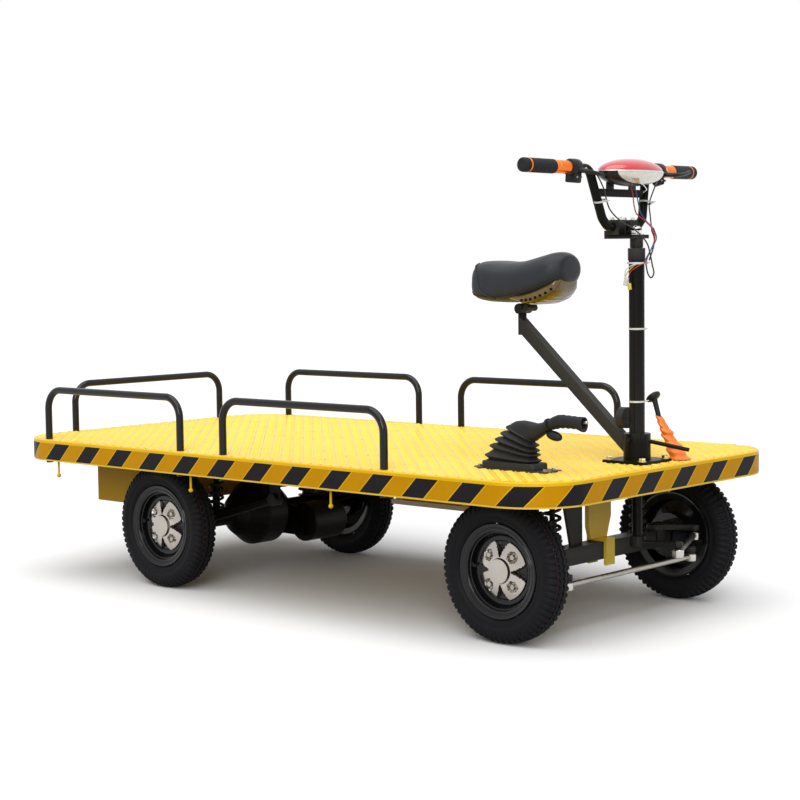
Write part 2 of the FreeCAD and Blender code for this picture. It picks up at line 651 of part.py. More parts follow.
# Rear axle: tube and differential case with brake backing plates, motor beside it, two trailing links
HALF_AXLE = "(half_track - 62)"
rear_tube = spun("rear_tube", (
    (0, f"-{HALF_AXLE}", 0),
    ("axle_tube_diameter / 2", f"-{HALF_AXLE}", 0),
    ("axle_tube_diameter / 2", "-130", 0),
    ("diff_radius * 0.62", "-104", 0),
    ("diff_radius", "-52", 0),
    ("diff_radius", "14", 0),
    ("diff_radius * 0.62", "60", 0),
    ("axle_tube_diameter / 2", "66", 0),
    ("axle_tube_diameter / 2", HALF_AXLE, 0),
    (0, HALF_AXLE, 0),
))
place(rear_tube, "rear_axle_x", "0", "tyre_radius")
rear_pins = rod("rear_spindles", "spindle / 2", "2 * half_track + 20", "rear_axle_x",
                "-half_track - 10", "tyre_radius", "Y")
gear_case = box("gear_case", "100", "16", "84", "rear_axle_x + 6", "62", "tyre_radius - 72")
node(fuse("rear_axle", [rear_tube, rear_pins, gear_case]), "rear_axle")
node(spun("motor", (
    (0, "0", 0),
    ("motor_diameter / 2 - 4", "0", 0),
    ("motor_diameter / 2", "4", 0),
    ("motor_diameter / 2", "126", 0),
    ("motor_diameter / 2 - 6", "133", 0),
    (0, "133", 0),
)), "motor")
place(NODES[-1], "rear_axle_x + 88", "78", "tyre_radius - 35")
links = []
LINK_X = "(rear_axle_x + link_reach)"
for side in (-1, 1):
    y = f"{side} * link_y"
    links += [
        rod(f"link_eye{side}", "axle_tube_diameter / 2 + 8", "30", "rear_axle_x", f"{y} - 15",
            "tyre_radius", "Y"),
        slanted_rod(f"link_bar{side}", "10", ("rear_axle_x + 30", y, "tyre_radius + 4"),
                    (f"{LINK_X} - 10", y, "link_hinge_z - 4")),
        rod(f"link_hinge{side}", "16", "30", LINK_X, f"{y} - 15", "link_hinge_z", "Y"),
        box(f"link_hanger{side}", "34", "8", f"{RAIL_Z} - link_hinge_z", f"{LINK_X} - 17", f"{y} - 4",
            "link_hinge_z"),
    ]
link_space = rod("link_space", "axle_tube_diameter / 2", "deck_width", "rear_axle_x",
                 "-deck_width / 2", "tyre_radius", "Y")
node(cut("trailing_links", fuse("link_parts", links), link_space), "trailing_links")

# Wheels: tyre, dished steel rim with its hub and drum, and a four-lobed hub cap
WHEELS = (
    # place, axle, side
    ("front_left", "front_axle_x", 1),
    ("front_right", "front_axle_x", -1),
    ("rear_left", "rear_axle_x", 1),
    ("rear_right", "rear_axle_x", -1),
)
TYRE_PROFILE = (
    ("rim_barrel", "-rim_width / 2 + rim_sheet", 0),
    ("rim_flange + 1", "-rim_width / 2 + rim_sheet", -14),
    ("rim_flange + 10", "-tyre_width / 2 + 2", 40),
    ("tyre_radius - 22", "-tyre_width / 2 + 1", 26),
    ("tyre_radius - 4", "-tyre_width / 2 + 12", "((tyre_width / 2 - 12) ^ 2 + 16) / 8"),
    ("tyre_radius - 4", "tyre_width / 2 - 12", 26),
    ("tyre_radius - 22", "tyre_width / 2 - 1", 40),
    ("rim_flange + 10", "tyre_width / 2 - 2", -14),
    ("rim_flange + 1", "rim_width / 2 - rim_sheet", 0),
    ("rim_barrel", "rim_width / 2 - rim_sheet", 0),
)
RIM_PROFILE = (
    ("spindle / 2 + running_gap", "-hub_length / 2 - 10", 0),
    ("drum_radius", "-hub_length / 2 - 10", 0),
    ("drum_radius", "-10", 0),
    ("rim_barrel - rim_sheet", "-4", 0),
    ("rim_barrel - rim_sheet", "-rim_width / 2 + rim_sheet", 0),
    ("rim_flange - 4", "-rim_width / 2", 0),
    ("rim_flange", "-rim_width / 2", 0),
    ("rim_flange", "-rim_width / 2 + rim_sheet", 0),
    ("rim_barrel", "-rim_width / 2 + rim_sheet", 0),
    ("rim_barrel", "rim_width / 2 - rim_sheet", 0),
    ("rim_flange", "rim_width / 2 - rim_sheet", 0),
    ("rim_flange", "rim_width / 2", 0),
    ("rim_flange - 4", "rim_width / 2", 0),
    ("rim_barrel - rim_sheet", "rim_width / 2 - rim_sheet", 0),
    ("rim_barrel - rim_sheet", "2", 0),
    ("cap_radius + 16", "2", 0),
    ("cap_radius + 12", "8", 0),
    ("cap_radius + 2", "8", 0),
    ("cap_radius - 2", "4", 0),
    ("spindle / 2 + running_gap", "4", 0),
)


def hub_cap(label):
    """Four lobes round a raised centre: a domed disc with a V notch above, below and at each side."""
    dome = spun(label + "_dome", (
        (0, "12", 0),
        ("spindle / 2 + 3", "12", 0),
        ("spindle / 2 + 3", "4", 0),
        ("cap_radius - 4", "4", 0),
        ("cap_radius", "9", "cap_radius"),
        ("cap_radius * 0.52", "19", 0),
        ("cap_radius * 0.48", "26", "((cap_radius * 0.48) ^ 2 + 16) / 8"),
        (0, "30", 0),
    ))
    notches = []
    for quarter in range(4):
        notch = plate(f"{label}_notch{quarter}", "XZ_Plane", (
            ("cap_radius * 0.52", "-cap_radius * 0.05", 0),
            ("cap_radius * 1.2", "-cap_radius * 0.44", 0),
            ("cap_radius * 1.2", "cap_radius * 0.44", 0),
            ("cap_radius * 0.52", "cap_radius * 0.05", 0),
        ), "2 * hub_length", middle=True)
        notch.Placement = Placement(Vector(), Rotation(Vector(0, 1, 0), 90 * quarter))
        notches.append(notch)
    return cut(label, dome, fuse(label + "_notches", notches))


for label, axle, side in WHEELS:
    facing = Rotation(Vector(0, 0, 1), 0 if side > 0 else 180)
    for kind, piece in (("tyre", spun("tyre_" + label, TYRE_PROFILE)),
                        ("rim", spun("rim_" + label, RIM_PROFILE)),
                        ("cap", hub_cap("cap_" + label))):
        node(piece, f"{kind}_{label}")
        place(piece, axle, f"{side} * half_track", "tyre_radius", facing)

# Knuckles: a fork on each kingpin, the wheel's spindle, and the arms of the steering linkage
LUG_LOW = f"({BOSS_LOW} - lug_height - 0.5)"
LUG_HIGH = f"({BOSS_LOW} + {BOSS_HEIGHT} + 0.5)"
EYE = 12
for label, side in (("left", 1), ("right", -1)):
    y = f"{side} * kingpin_y"
    web_y = f"{side} * (kingpin_y + 35) - 8"
    pieces = [
        rod(f"lug_low_{label}", "boss_radius", "lug_height", "front_axle_x", y, LUG_LOW),
        rod(f"lug_high_{label}", "boss_radius", "lug_height", "front_axle_x", y, LUG_HIGH),
        box(f"web_{label}", "beam_depth", "16", f"{LUG_HIGH} + lug_height - {LUG_LOW}",
            "front_axle_x - beam_depth / 2", web_y, LUG_LOW),
        rod(f"spindle_{label}", "spindle / 2", "half_track - kingpin_y - 25", "front_axle_x",
            f"{side} * (kingpin_y + 35 + (half_track - kingpin_y - 25) / 2)"
            f" - (half_track - kingpin_y - 25) / 2", "tyre_radius", "Y"),
        box(f"tie_arm_{label}", "tie_arm", "20", "lug_height", "front_axle_x", f"{y} - 10", LUG_LOW),
        rod(f"tie_eye_{label}", EYE, "lug_height", "front_axle_x + tie_arm", y, LUG_LOW),
        rod(f"tie_stud_{label}", 5, 16, "front_axle_x + tie_arm", y, f"{LUG_LOW} - 16"),
    ]
    for number, lift in enumerate((LUG_LOW, LUG_HIGH)):
        pieces.append(box(f"cheek{number}_{label}", "beam_depth", "35", "lug_height",
                          "front_axle_x - beam_depth / 2", f"{side} * (kingpin_y + 17.5) - 17.5", lift))
    if side > 0:
        drag_end = ("front_axle_x + drag_arm_x", "kingpin_y + drag_arm_y")
        arm = plate("drag_arm_plate", "XY_Plane", (
            ("-8", "12", 0),
            ("8", "-12", 0),
            ("drag_arm_x + 5", "drag_arm_y - 9", 0),
            ("drag_arm_x - 5", "drag_arm_y + 9", 0),
        ), "lug_height")
        place(arm, "front_axle_x", "kingpin_y", LUG_HIGH)
        pieces += [
            arm,
            rod("drag_eye", EYE, "lug_height", *drag_end, LUG_HIGH),
            rod("drag_stud", 5, 20, *drag_end, f"{LUG_HIGH} - 20"),
        ]
    bores = rod(f"kingpin_bore_{label}", "kingpin / 2 + running_gap", "deck_top", "front_axle_x", y, "0")
    node(cut(f"knuckle_{label}", fuse(f"knuckle_parts_{label}", pieces), bores), f"knuckle_{label}")

# Tie rod and drag link: round bars with ball-joint eyes below the arms
TIE_Z = f"({LUG_LOW} - 11)"
DRAG_Z = f"({LUG_HIGH} - 13)"
TIE_X = "front_axle_x + tie_arm"
PITMAN_X = "(column_x + drag_arm_x)"
tie_bar = rod("tie_bar", "rod_thickness / 2", "2 * kingpin_y", TIE_X, "-kingpin_y", TIE_Z, "Y")
drag_start = ("front_axle_x + drag_arm_x", "kingpin_y + drag_arm_y", DRAG_Z)
drag_finish = (PITMAN_X, "drag_arm_y", DRAG_Z)
drag_bar = slanted_rod("drag_bar", "rod_thickness / 2", drag_start, drag_finish)
RODS = (
    # node, bar, its two ends
    ("tie_rod", tie_bar, ((TIE_X, "kingpin_y", TIE_Z), (TIE_X, "-kingpin_y", TIE_Z))),
    ("drag_link", drag_bar, (drag_start, drag_finish)),
)
for label, bar, ends in RODS:
    eyes = [rod(f"{label}_eye{number}", EYE, 16, x, y, f"{z} - 8")
            for number, (x, y, z) in enumerate(ends)]
    bores = [rod(f"{label}_bore{number}", 5.3, 60, x, y, f"{z} - 30")
             for number, (x, y, z) in enumerate(ends)]
    node(cut(label, fuse(label + "_solid", [bar] + eyes), fuse(label + "_bores", bores)), label)

# Steering stem: the turning shaft with its neck, and the pitman arm at its foot
STEM_FOOT = f"({LUG_HIGH} - 2)"
shaft = spun("stem_shaft", (
    (0, STEM_FOOT, 0),
    ("stem_diameter / 2", STEM_FOOT, 0),
    ("stem_diameter / 2", "column_top + 0.5", 0),
    ("sleeve_diameter / 2 - 5", "column_top + 0.5", 0),
    ("sleeve_diameter / 2 - 5", "column_top + 23", 0),
    (0, "column_top + 23", 0),
), "XZ_Plane")
place(shaft, "column_x", "0", "0")
pitman_plate = plate("pitman_plate", "XY_Plane", (
    ("-6", "14", 0),
    ("6", "-14", 0),
    ("drag_arm_x + 5", "drag_arm_y - 9", 0),
    ("drag_arm_x - 5", "drag_arm_y + 9", 0),
), "lug_height")
place(pitman_plate, "column_x", "0", LUG_HIGH)
node(fuse("stem", [
    shaft,
    pitman_plate,
    rod("pitman_hub", "stem_diameter / 2 + 8", "26", "column_x", "0", LUG_HIGH),
    rod("pitman_eye", EYE, "lug_height", PITMAN_X, "drag_arm_y", LUG_HIGH),
    rod("pitman_stud", 5, 20, PITMAN_X, "drag_arm_y", f"{LUG_HIGH} - 20"),
]), "stem")

# Handlebar: clamp plate on the stem, a bent bar with risers and a cross brace, grips and controls
CLAMP_Z = "(column_top + 23)"
BAR_LOW = f"({CLAMP_Z} + 29)"
clamp_parts = [
    box("clamp_plate", "82", "70", "9", "column_x - 70", "-35", CLAMP_Z),
    box("clamp_lip", "10", "70", "20", "column_x - 70", "-35", CLAMP_Z),
    rod("stem_nut", "13", "15", "column_x", "0", f"{CLAMP_Z} + 9"),
]
for number, y in enumerate((-42, 10)):
    clamp_parts.append(box(f"riser_clamp{number}", "34", "32", f"{BAR_LOW} + 16 - ({CLAMP_Z} + 9)",
                           "bar_x - 17", y, f"{CLAMP_Z} + 9"))
bar_space = rod("bar_space", "bar_diameter / 2", "deck_width", "bar_x", "-deck_width / 2", BAR_LOW, "Y")
node(cut("bar_clamp", fuse("bar_clamp_parts", clamp_parts), bar_space), "bar_clamp")
GRIP_X = "(bar_x - 30)"
GRIP_Z = "(column_top + 192)"
BEND_X = "(bar_x - 13)"
BEND_Z = "(column_top + 189)"
bar_route = []
for side in (-1, 1):
    half = [
        (GRIP_X, f"{side} * (grip_end - 4)", GRIP_Z),
        (BEND_X, f"{side} * 118", BEND_Z),
        ("bar_x", f"{side} * 84", f"{BAR_LOW} + 20"),
        ("bar_x", f"{side} * 62", BAR_LOW),
    ]
    bar_route += half if side < 0 else half[::-1]
BRACE_Z = "(column_top + 123)"
bar_tube = bent_tube("bar_tube", bar_route, "bar_diameter / 2", "22")
brace = box("bar_brace", "5", "196", "19", "bar_x - 6", "-98", BRACE_Z)
node(fuse("handlebar", [bar_tube, brace]), "handlebar")


def along_grip(side, reach):
    """The point of the handlebar's outer run that lies reach millimetres in from its end."""
    share = f"(({reach}) / (grip_end - 4 - 118))"
    return (f"{GRIP_X} + 17 * {share}", f"{side} * (grip_end - 4 - ({reach}))",
            f"{GRIP_Z} + ({BEND_Z} - {GRIP_Z}) * {share}")


BAR_FITTINGS = (
    # node stem, radius, start and end in from the bar's end
    ("grips", "grip_diameter / 2", -4, "grip_length - 4"),
    ("grip_collars", "grip_diameter / 2 - 1", "grip_length - 4", "grip_length + 50"),
    ("bar_controls", "grip_diameter / 2 + 4", "grip_length + 50", "grip_length + 84"),
)
fittings = {kind: [] for kind, radius, start, end in BAR_FITTINGS}
for side in (-1, 1):
    inner_end = along_grip(side, "2 * grip_length")
    for kind, radius, start, end in BAR_FITTINGS:
        shell = slanted_rod(f"{kind}_shell{side}", radius, along_grip(side, start), along_grip(side, end))
        core_start = along_grip(side, start if kind != "grips" else 0)
        core = slanted_rod(f"{kind}_core{side}", "bar_diameter / 2", core_start, inner_end)
        fittings[kind].append(cut(f"{kind}_half{side}", shell, core))
CONTROL_Y, CONTROL_Z = along_grip(1, "grip_length + 67")[1:]
fittings["bar_controls"] += [
    box("switch_block", "34", "26", "24", "bar_x - 34", f"-{CONTROL_Y} - 13", f"{CONTROL_Z} - 34"),
    box("lever_perch", "30", "12", "12", "bar_x + 4", f"-{CONTROL_Y} - 6", f"{CONTROL_Z} - 8"),
    rod("throttle_block", "14", "24", "bar_x - 16", f"{CONTROL_Y} - 12", f"{CONTROL_Z} - 22", "Y"),
    slanted_rod("blade_perch", "7", ("bar_x - 6", CONTROL_Y, CONTROL_Z),
                ("bar_x + 30", CONTROL_Y, f"{CONTROL_Z} - 6")),
    slanted_rod("lever_blade", "5", ("bar_x + 28", f"{CONTROL_Y} - 4", f"{CONTROL_Z} - 6"),
                ("bar_x + 24", f"{CONTROL_Y} + 86", f"{CONTROL_Z} + 4")),
]
core_right, core_left = [slanted_rod(f"control_core{side}", "bar_diameter / 2", along_grip(side, "grip_length"),
                                     along_grip(side, "2 * grip_length")) for side in (-1, 1)]
control_solid = fuse("control_solid", fittings["bar_controls"])
fittings["bar_controls"] = [cut("control_bored", control_solid, fuse("control_cores", [core_right, core_left]))]
for kind, pieces in fittings.items():
    node(fuse(kind, pieces), kind)

# Headlamp: a wide rounded lamp between the bar's risers, red cowl above, clear lens in front
LAMP_Z = "(column_top + 181)"


def lamp_form(name):
    body = doc.addObject("Part::Ellipsoid", name)
    bind(body, Radius1="33", Radius2="58", Radius3="110")
    return place(body, "bar_x + 24", "0", LAMP_Z)


LAMP_HALVES = {
    # node: length, width, height, then its lowest corner
    "lamp_cowl": ("200", "300", "60", "bar_x - 76", "-150", f"{LAMP_Z} + 2"),
    "lamp_lens": ("100", "300", "60", "bar_x + 54", "-150", f"{LAMP_Z} - 58"),
    "lamp_body": ("130", "300", "60", "bar_x - 76", "-150", f"{LAMP_Z} - 58"),
}
for label, block in LAMP_HALVES.items():
    piece = doc.addObject("Part::Common", label + "_share")
    piece.Base = lamp_form(label + "_form")
    piece.Tool = box(label + "_half", *block)
    if label == "lamp_body":
        stays = [box(f"lamp_stay{side}", "5", "26", "16", "bar_x - 6", f"{side} * 46 - 13", f"{BRACE_Z} + 19")
                 for side in (-1, 1)]
        piece = fuse("lamp_shell", [piece] + stays)
    node(piece, label)

# Write each piece to its own file once all are whole
doc.recompute()
for thing in doc.Objects:
    if "Invalid" in thing.State or "Error" in thing.State:
        raise RuntimeError(f"{thing.Name} failed: {thing.State}")
for thing in NODES:
    if thing.Shape.isNull() or not thing.Shape.isValid() or not thing.Shape.Solids:
        raise RuntimeError(f"{thing.Label} is not a whole solid")
for thing in NODES:
    thing.Shape.exportStep(f"parts/{thing.Label}.step")
    bounds = thing.Shape.optimalBoundingBox()
    print(f"{thing.Label}: {len(thing.Shape.Solids)} solids, {thing.Shape.Volume / 1000:.1f} cm3, "
          f"x {bounds.XMin:.0f} {bounds.XMax:.0f} y {bounds.YMin:.0f} {bounds.YMax:.0f} "
          f"z {bounds.ZMin:.0f} {bounds.ZMax:.0f}")
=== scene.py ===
import math

import bmesh
import bpy
import numpy as np
from mathutils import Matrix, Vector


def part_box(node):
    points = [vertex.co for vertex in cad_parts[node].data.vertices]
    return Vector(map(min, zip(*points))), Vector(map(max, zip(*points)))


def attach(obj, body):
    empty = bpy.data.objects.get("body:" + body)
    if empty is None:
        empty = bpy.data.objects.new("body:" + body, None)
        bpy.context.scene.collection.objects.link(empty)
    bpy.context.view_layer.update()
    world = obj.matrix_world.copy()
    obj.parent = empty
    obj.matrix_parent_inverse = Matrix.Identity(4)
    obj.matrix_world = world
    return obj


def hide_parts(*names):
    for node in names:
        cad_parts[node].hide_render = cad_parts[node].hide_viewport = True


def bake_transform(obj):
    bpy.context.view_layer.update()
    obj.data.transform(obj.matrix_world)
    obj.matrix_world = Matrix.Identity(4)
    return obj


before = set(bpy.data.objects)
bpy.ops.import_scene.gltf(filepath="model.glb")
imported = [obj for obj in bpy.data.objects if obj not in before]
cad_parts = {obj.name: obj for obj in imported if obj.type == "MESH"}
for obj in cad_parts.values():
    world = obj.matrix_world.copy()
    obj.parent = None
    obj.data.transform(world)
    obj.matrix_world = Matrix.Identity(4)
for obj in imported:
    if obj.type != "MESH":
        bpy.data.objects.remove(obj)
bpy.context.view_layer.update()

# Deck paint: thick gloss yellow over the checker plate and its frame. The colour drifts a little
# between batches of spray, edges wear paler, and dust dulls the gloss in patches.
DECK_YELLOW = (0.90, 0.49, 0.003)


def finish_node(material):
    """The shader of a material, its node tree and a maker of nodes in it."""
    material.use_nodes = True
    tree = material.node_tree
    shader = tree.nodes["Principled BSDF"]
    return shader, tree, tree.nodes.new


def mottled(name, colour, second, roughness, metallic=0.0, coat=0.0, scale=9.0, bump=0.02,
            grain=260.0, wear=None, spread=0.12, shine=0.5):
    """A painted or moulded finish: two close colours by cloud noise, roughness that drifts with
    it, a fine grain in the bump, and a paler worn edge where wear gives its colour."""
    material = bpy.data.materials.new(name)
    shader, tree, new = finish_node(material)
    link = tree.links.new
    place = new("ShaderNodeTexCoord")
    cloud = new("ShaderNodeTexNoise")
    cloud.inputs["Scale"].default_value = scale
    cloud.inputs["Detail"].default_value = 5.0
    link(place.outputs["Object"], cloud.inputs["Vector"])
    blend = new("ShaderNodeMix")
    blend.data_type = "RGBA"
    blend.inputs["A"].default_value = (*colour, 1)
    blend.inputs["B"].default_value = (*second, 1)
    link(cloud.outputs["Fac"], blend.inputs["Factor"])
    tint = blend.outputs["Result"]
    if wear:
        edge = new("ShaderNodeNewGeometry")
        rim = new("ShaderNodeMapRange")
        rim.inputs["From Min"].default_value = 0.53
        rim.inputs["From Max"].default_value = 0.62
        link(edge.outputs["Pointiness"], rim.inputs["Value"])
        worn = new("ShaderNodeMix")
        worn.data_type = "RGBA"
        worn.inputs["B"].default_value = (*wear, 1)
        link(rim.outputs["Result"], worn.inputs["Factor"])
        link(tint, worn.inputs["A"])
        tint = worn.outputs["Result"]
    link(tint, shader.inputs["Base Color"])
    gloss = new("ShaderNodeMapRange")
    gloss.inputs["To Min"].default_value = max(roughness - spread, 0.03)
    gloss.inputs["To Max"].default_value = roughness + spread
    link(cloud.outputs["Fac"], gloss.inputs["Value"])
    link(gloss.outputs["Result"], shader.inputs["Roughness"])
    fine = new("ShaderNodeTexNoise")
    fine.inputs["Scale"].default_value = grain
    link(place.outputs["Object"], fine.inputs["Vector"])
    relief = new("ShaderNodeBump")
    relief.inputs["Strength"].default_value = bump
    relief.inputs["Distance"].default_value = 0.002
    link(fine.outputs["Fac"], relief.inputs["Height"])
    link(relief.outputs["Normal"], shader.inputs["Normal"])
    shader.inputs["Metallic"].default_value = metallic
    shader.inputs["Specular IOR Level"].default_value = shine
    shader.inputs["Coat Weight"].default_value = coat
    shader.inputs["Coat Roughness"].default_value = 0.08
    return material


def dress(material, *nodes):
    """Give carried-over nodes their finish."""
    for name in nodes:
        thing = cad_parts[name]
        thing.data.materials.clear()
        thing.data.materials.append(material)


deck_paint = mottled("deck_yellow_paint", DECK_YELLOW, (0.95, 0.60, 0.008), 0.34, coat=0.08, bump=0.03,
                     wear=(1.0, 0.70, 0.09), shine=0.12)
dress(deck_paint, "deck", "edge_rails", "centre_rails", "cross_members", "rope_pins", "front_post")
# Battery box: the deck's yellow at about half its brightness, painted shade for its place under the deck.
box_shaded_paint = mottled("box_yellow_painted_shade", (0.50, 0.27, 0.004), (0.60, 0.34, 0.008), 0.46, shine=0.15)
dress(box_shaded_paint, "battery_box")

deck_low, deck_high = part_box("deck")
DECK_TOP = 0.400
TREAD_PITCH = 0.0195
TREAD_LENGTH = 0.0200
TREAD_WIDTH = 0.0068
TREAD_RISE = 0.0020
CORNER = 0.150


def mesh_piece(name, points, faces, material, body, smooth=False):
    """A mesh from lists of points and faces, riding on a body when one is given."""
    mesh = bpy.data.meshes.new(name)
    mesh.from_pydata([tuple(point) for point in points], [], [tuple(face) for face in faces])
    mesh.materials.append(material)
    if smooth:
        mesh.shade_smooth()
    piece = bpy.data.objects.new(name, mesh)
    bpy.context.collection.objects.link(piece)
    if body:
        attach(piece, body)
    return piece


def inside_deck(x, y, margin):
    """Whether a place lies within the deck's rounded outline, less a margin."""
    half_x = deck_high.x - margin
    half_y = deck_high.y - margin
    corner = CORNER - margin
    over_x = max(abs(x) - (half_x - corner), 0)
    over_y = max(abs(y) - (half_y - corner), 0)
    return abs(x) < half_x and abs(y) < half_y and math.hypot(over_x, over_y) < corner


# Checker plate: rolled lentils in two directions, each a low lens with pointed ends. The lentils are
# coloured paler than the plate between them, a painted highlight for the light on their tops.
EDGE_MARGIN = 0.012
SUNK = 0.0001
LENTIL = (
    # along, across, up, as shares of the half length, half width and rise
    (-1, 0, 0), (-0.45, -0.86, 0), (0.45, -0.86, 0), (1, 0, 0),
    (0.45, 0.86, 0), (-0.45, 0.86, 0), (-0.6, 0, 1), (0.6, 0, 1),
)
LENTIL_FACES = ((0, 1, 6), (1, 2, 7, 6), (2, 3, 7), (3, 4, 7), (4, 5, 6, 7), (5, 0, 6))


def raised_lens(points, faces, shape, centre, along, across, size):
    """Add a low raised shape of six sides and a ridge, its foot sunk a hair into the plate."""
    half_length, half_width, rise = size
    first = len(points)
    for reach, side, up in shape:
        points.append(centre + along * reach * half_length + across * side * half_width
                      + Vector((0, 0, up * rise - SUNK)))
    faces += [[first + corner for corner in face] for face in LENTIL_FACES]


# Paler yellow than the deck paint: painted highlight on the raised lentils.
tread_highlight_paint = mottled("tread_painted_highlight", (0.95, 0.60, 0.05), (0.98, 0.68, 0.12), 0.3, coat=0.1, scale=14,
                      bump=0.03, shine=0.2)
tread_points = []
tread_faces = []
columns = int((deck_high.x - deck_low.x) / TREAD_PITCH)
rows = int((deck_high.y - deck_low.y) / TREAD_PITCH)
for column in range(columns):
    for row in range(rows):
        x = deck_low.x + (column + 0.5) * TREAD_PITCH
        y = deck_low.y + (row + 0.5) * TREAD_PITCH
        if not inside_deck(x, y, EDGE_MARGIN):
            continue
        turn = math.radians(45 if (column + row) % 2 else -45)
        along = Vector((math.cos(turn), math.sin(turn), 0))
        across = Vector((-along.y, along.x, 0))
        raised_lens(tread_points, tread_faces, LENTIL, Vector((x, y, DECK_TOP)), along, across,
                    (TREAD_LENGTH / 2, TREAD_WIDTH / 2, TREAD_RISE))
mesh_piece("deck_treads", tread_points, tread_faces, tread_highlight_paint, "chassis")

# Weld beads: a short bead every 34 mm, 9 mm in from the deck's edge, that ties the plate to its skirt. They
# are painted over, and their darker yellow is painted shade.
BEAD_PITCH = 0.034
BEAD_INSET = 0.009
BEAD_SIZE = (0.0060, 0.0020, 0.0012)
BEAD = (
    (-1, 0, 0), (-0.6, -1, 0), (0.6, -1, 0), (1, 0, 0),
    (0.6, 1, 0), (-0.6, 1, 0), (-0.5, 0, 1), (0.5, 0, 1),
)
straight_x = deck_high.x - CORNER
straight_y = deck_high.y - CORNER
quarter = CORNER * math.pi / 2
PERIMETER = 4 * (straight_x + straight_y + quarter)


def round_deck(length):
    """Place and outward way at a length along the skirt, counted from the middle of the right side."""
    length %= PERIMETER
    runs = ((straight_x, (0, -1), 0), (quarter, None, -90), (2 * straight_y, (1, 0), 0),
            (quarter, None, 0), (2 * straight_x, (0, 1), 0), (quarter, None, 90),
            (2 * straight_y, (-1, 0), 0), (quarter, None, 180), (straight_x, (0, -1), 0))
    place = Vector((0, -deck_high.y, 0))
    for reach, face, start in runs:
        if face:
            outward = Vector((*face, 0))
            along = Vector((-outward.y, outward.x, 0))
            if length <= reach:
                return place + along * length, outward
            place = place + along * reach
        else:
            first = Vector((math.cos(math.radians(start)), math.sin(math.radians(start)), 0))
            centre = place - first * CORNER
            turn = math.radians(start) + min(length, reach) / CORNER
            outward = Vector((math.cos(turn), math.sin(turn), 0))
            place = centre + outward * CORNER
            if length <= reach:
                return place, outward
        length -= reach
    return place, Vector((0, -1, 0))


bead_points = []
bead_faces = []
# A darkened copy of the deck yellow: painted shade on the beads.
bead_shade_paint = mottled("weld_bead_painted_shade", (0.42, 0.24, 0.004), (0.62, 0.36, 0.01), 0.4, scale=60, bump=0.1)
for bead in range(int(PERIMETER / BEAD_PITCH)):
    place, outward = round_deck(bead * BEAD_PITCH)
    along = Vector((-outward.y, outward.x, 0))
    centre = Vector((place.x, place.y, DECK_TOP)) - outward * BEAD_INSET
    raised_lens(bead_points, bead_faces, BEAD, centre, along, outward, BEAD_SIZE)
mesh_piece("deck_welds", bead_points, bead_faces, bead_shade_paint, "chassis")

# Hazard tape: a 50 mm band of slanted black and amber reflective film round the skirt, one pitch
# of about 138 mm leaning with the way round, with the paint left bare in a thin line above and below.
TAPE_LOW = 0.3445
TAPE_HIGH = 0.3905
TAPE_STAND = 0.0005
TAPE_LEVELS = 8
STRIPE_STEPS = 10
TAPE_LENGTHS = (
    # pairs laid so far, metres round the skirt; each length of tape was stretched a little differently
    (-6, -0.793),
    (4, 0.569),
    (12, 1.701),
    (35, 4.829),
)
DARK_SHARE = 0.478
MARGIN_SHARE = 0.022
AMBER_SHARE = 1 - DARK_SHARE - 2 * MARGIN_SHARE
DARK, AMBER, BARE = 0, 1, 2
tape_black = mottled("tape_black", (0.010, 0.009, 0.011), (0.022, 0.019, 0.022), 0.4, scale=30, bump=0.05,
                     shine=0.07)
tape_amber = mottled("tape_amber", (0.64, 0.285, 0.0012), (0.72, 0.34, 0.002), 0.42, scale=24, bump=0.05,
                     shine=0.09)
tape_points = []
tape_faces = []
tape_colours = []
lean = TAPE_HIGH - TAPE_LOW
starts = []
for pair in range(-6, 35):
    for number in range(STRIPE_STEPS):
        starts.append((pair + DARK_SHARE * number / STRIPE_STEPS, DARK))
    starts.append((pair + DARK_SHARE, BARE))
    for number in range(STRIPE_STEPS):
        starts.append((pair + DARK_SHARE + MARGIN_SHARE + AMBER_SHARE * number / STRIPE_STEPS, AMBER))
    starts.append((pair + 1 - MARGIN_SHARE, BARE))
pairs, laid = zip(*TAPE_LENGTHS)
for share, colour in starts:
    along = np.interp(share, pairs, laid)
    for level in range(TAPE_LEVELS + 1):
        rise = lean * level / TAPE_LEVELS
        place, outward = round_deck(along + rise - lean / 2)
        tape_points.append((*(place + outward * TAPE_STAND).xy, TAPE_LOW + rise))
total = len(starts)
for step, (share, colour) in enumerate(starts):
    for level in range(TAPE_LEVELS):
        here = step * (TAPE_LEVELS + 1) + level
        after = (step + 1) % total * (TAPE_LEVELS + 1) + level
        tape_faces.append((here, after, after + 1, here + 1))
        tape_colours.append(colour)
tape = mesh_piece("deck_tape", tape_points, tape_faces, tape_black, "chassis")
tape.data.materials.append(tape_amber)
tape.data.materials.append(deck_paint)
tape.data.polygons.foreach_set("material_index", tape_colours)

# Hoops, column, seat arm and handlebar: steel tube, bent and welded. The hoops have gloss black paint
# and stand at the deck's edge; the column, bar and running gear have a plainer satin coat.
gloss_black = mottled("gloss_black_paint", (0.004, 0.004, 0.005), (0.009, 0.009, 0.010), 0.16, coat=0.35,
                      scale=14, bump=0.015, wear=(0.04, 0.04, 0.045), spread=0.07, shine=0.12)
dress(gloss_black, "hoop_rear_right", "hoop_front_right", "hoop_rear_left", "hoop_front_left", "hoop_rear")
satin_black = mottled("satin_black_paint", (0.003, 0.003, 0.003), (0.008, 0.007, 0.006), 0.36,
                      scale=18, bump=0.04, wear=(0.05, 0.048, 0.045), shine=0.09)
dress(satin_black, "column_base", "column_tube", "column_housing", "seat_arm", "seat_post", "handlebar",
      "stem", "bar_clamp", "horn", "front_axle", "rear_axle", "motor", "trailing_links", "knuckle_left",
      "knuckle_right")

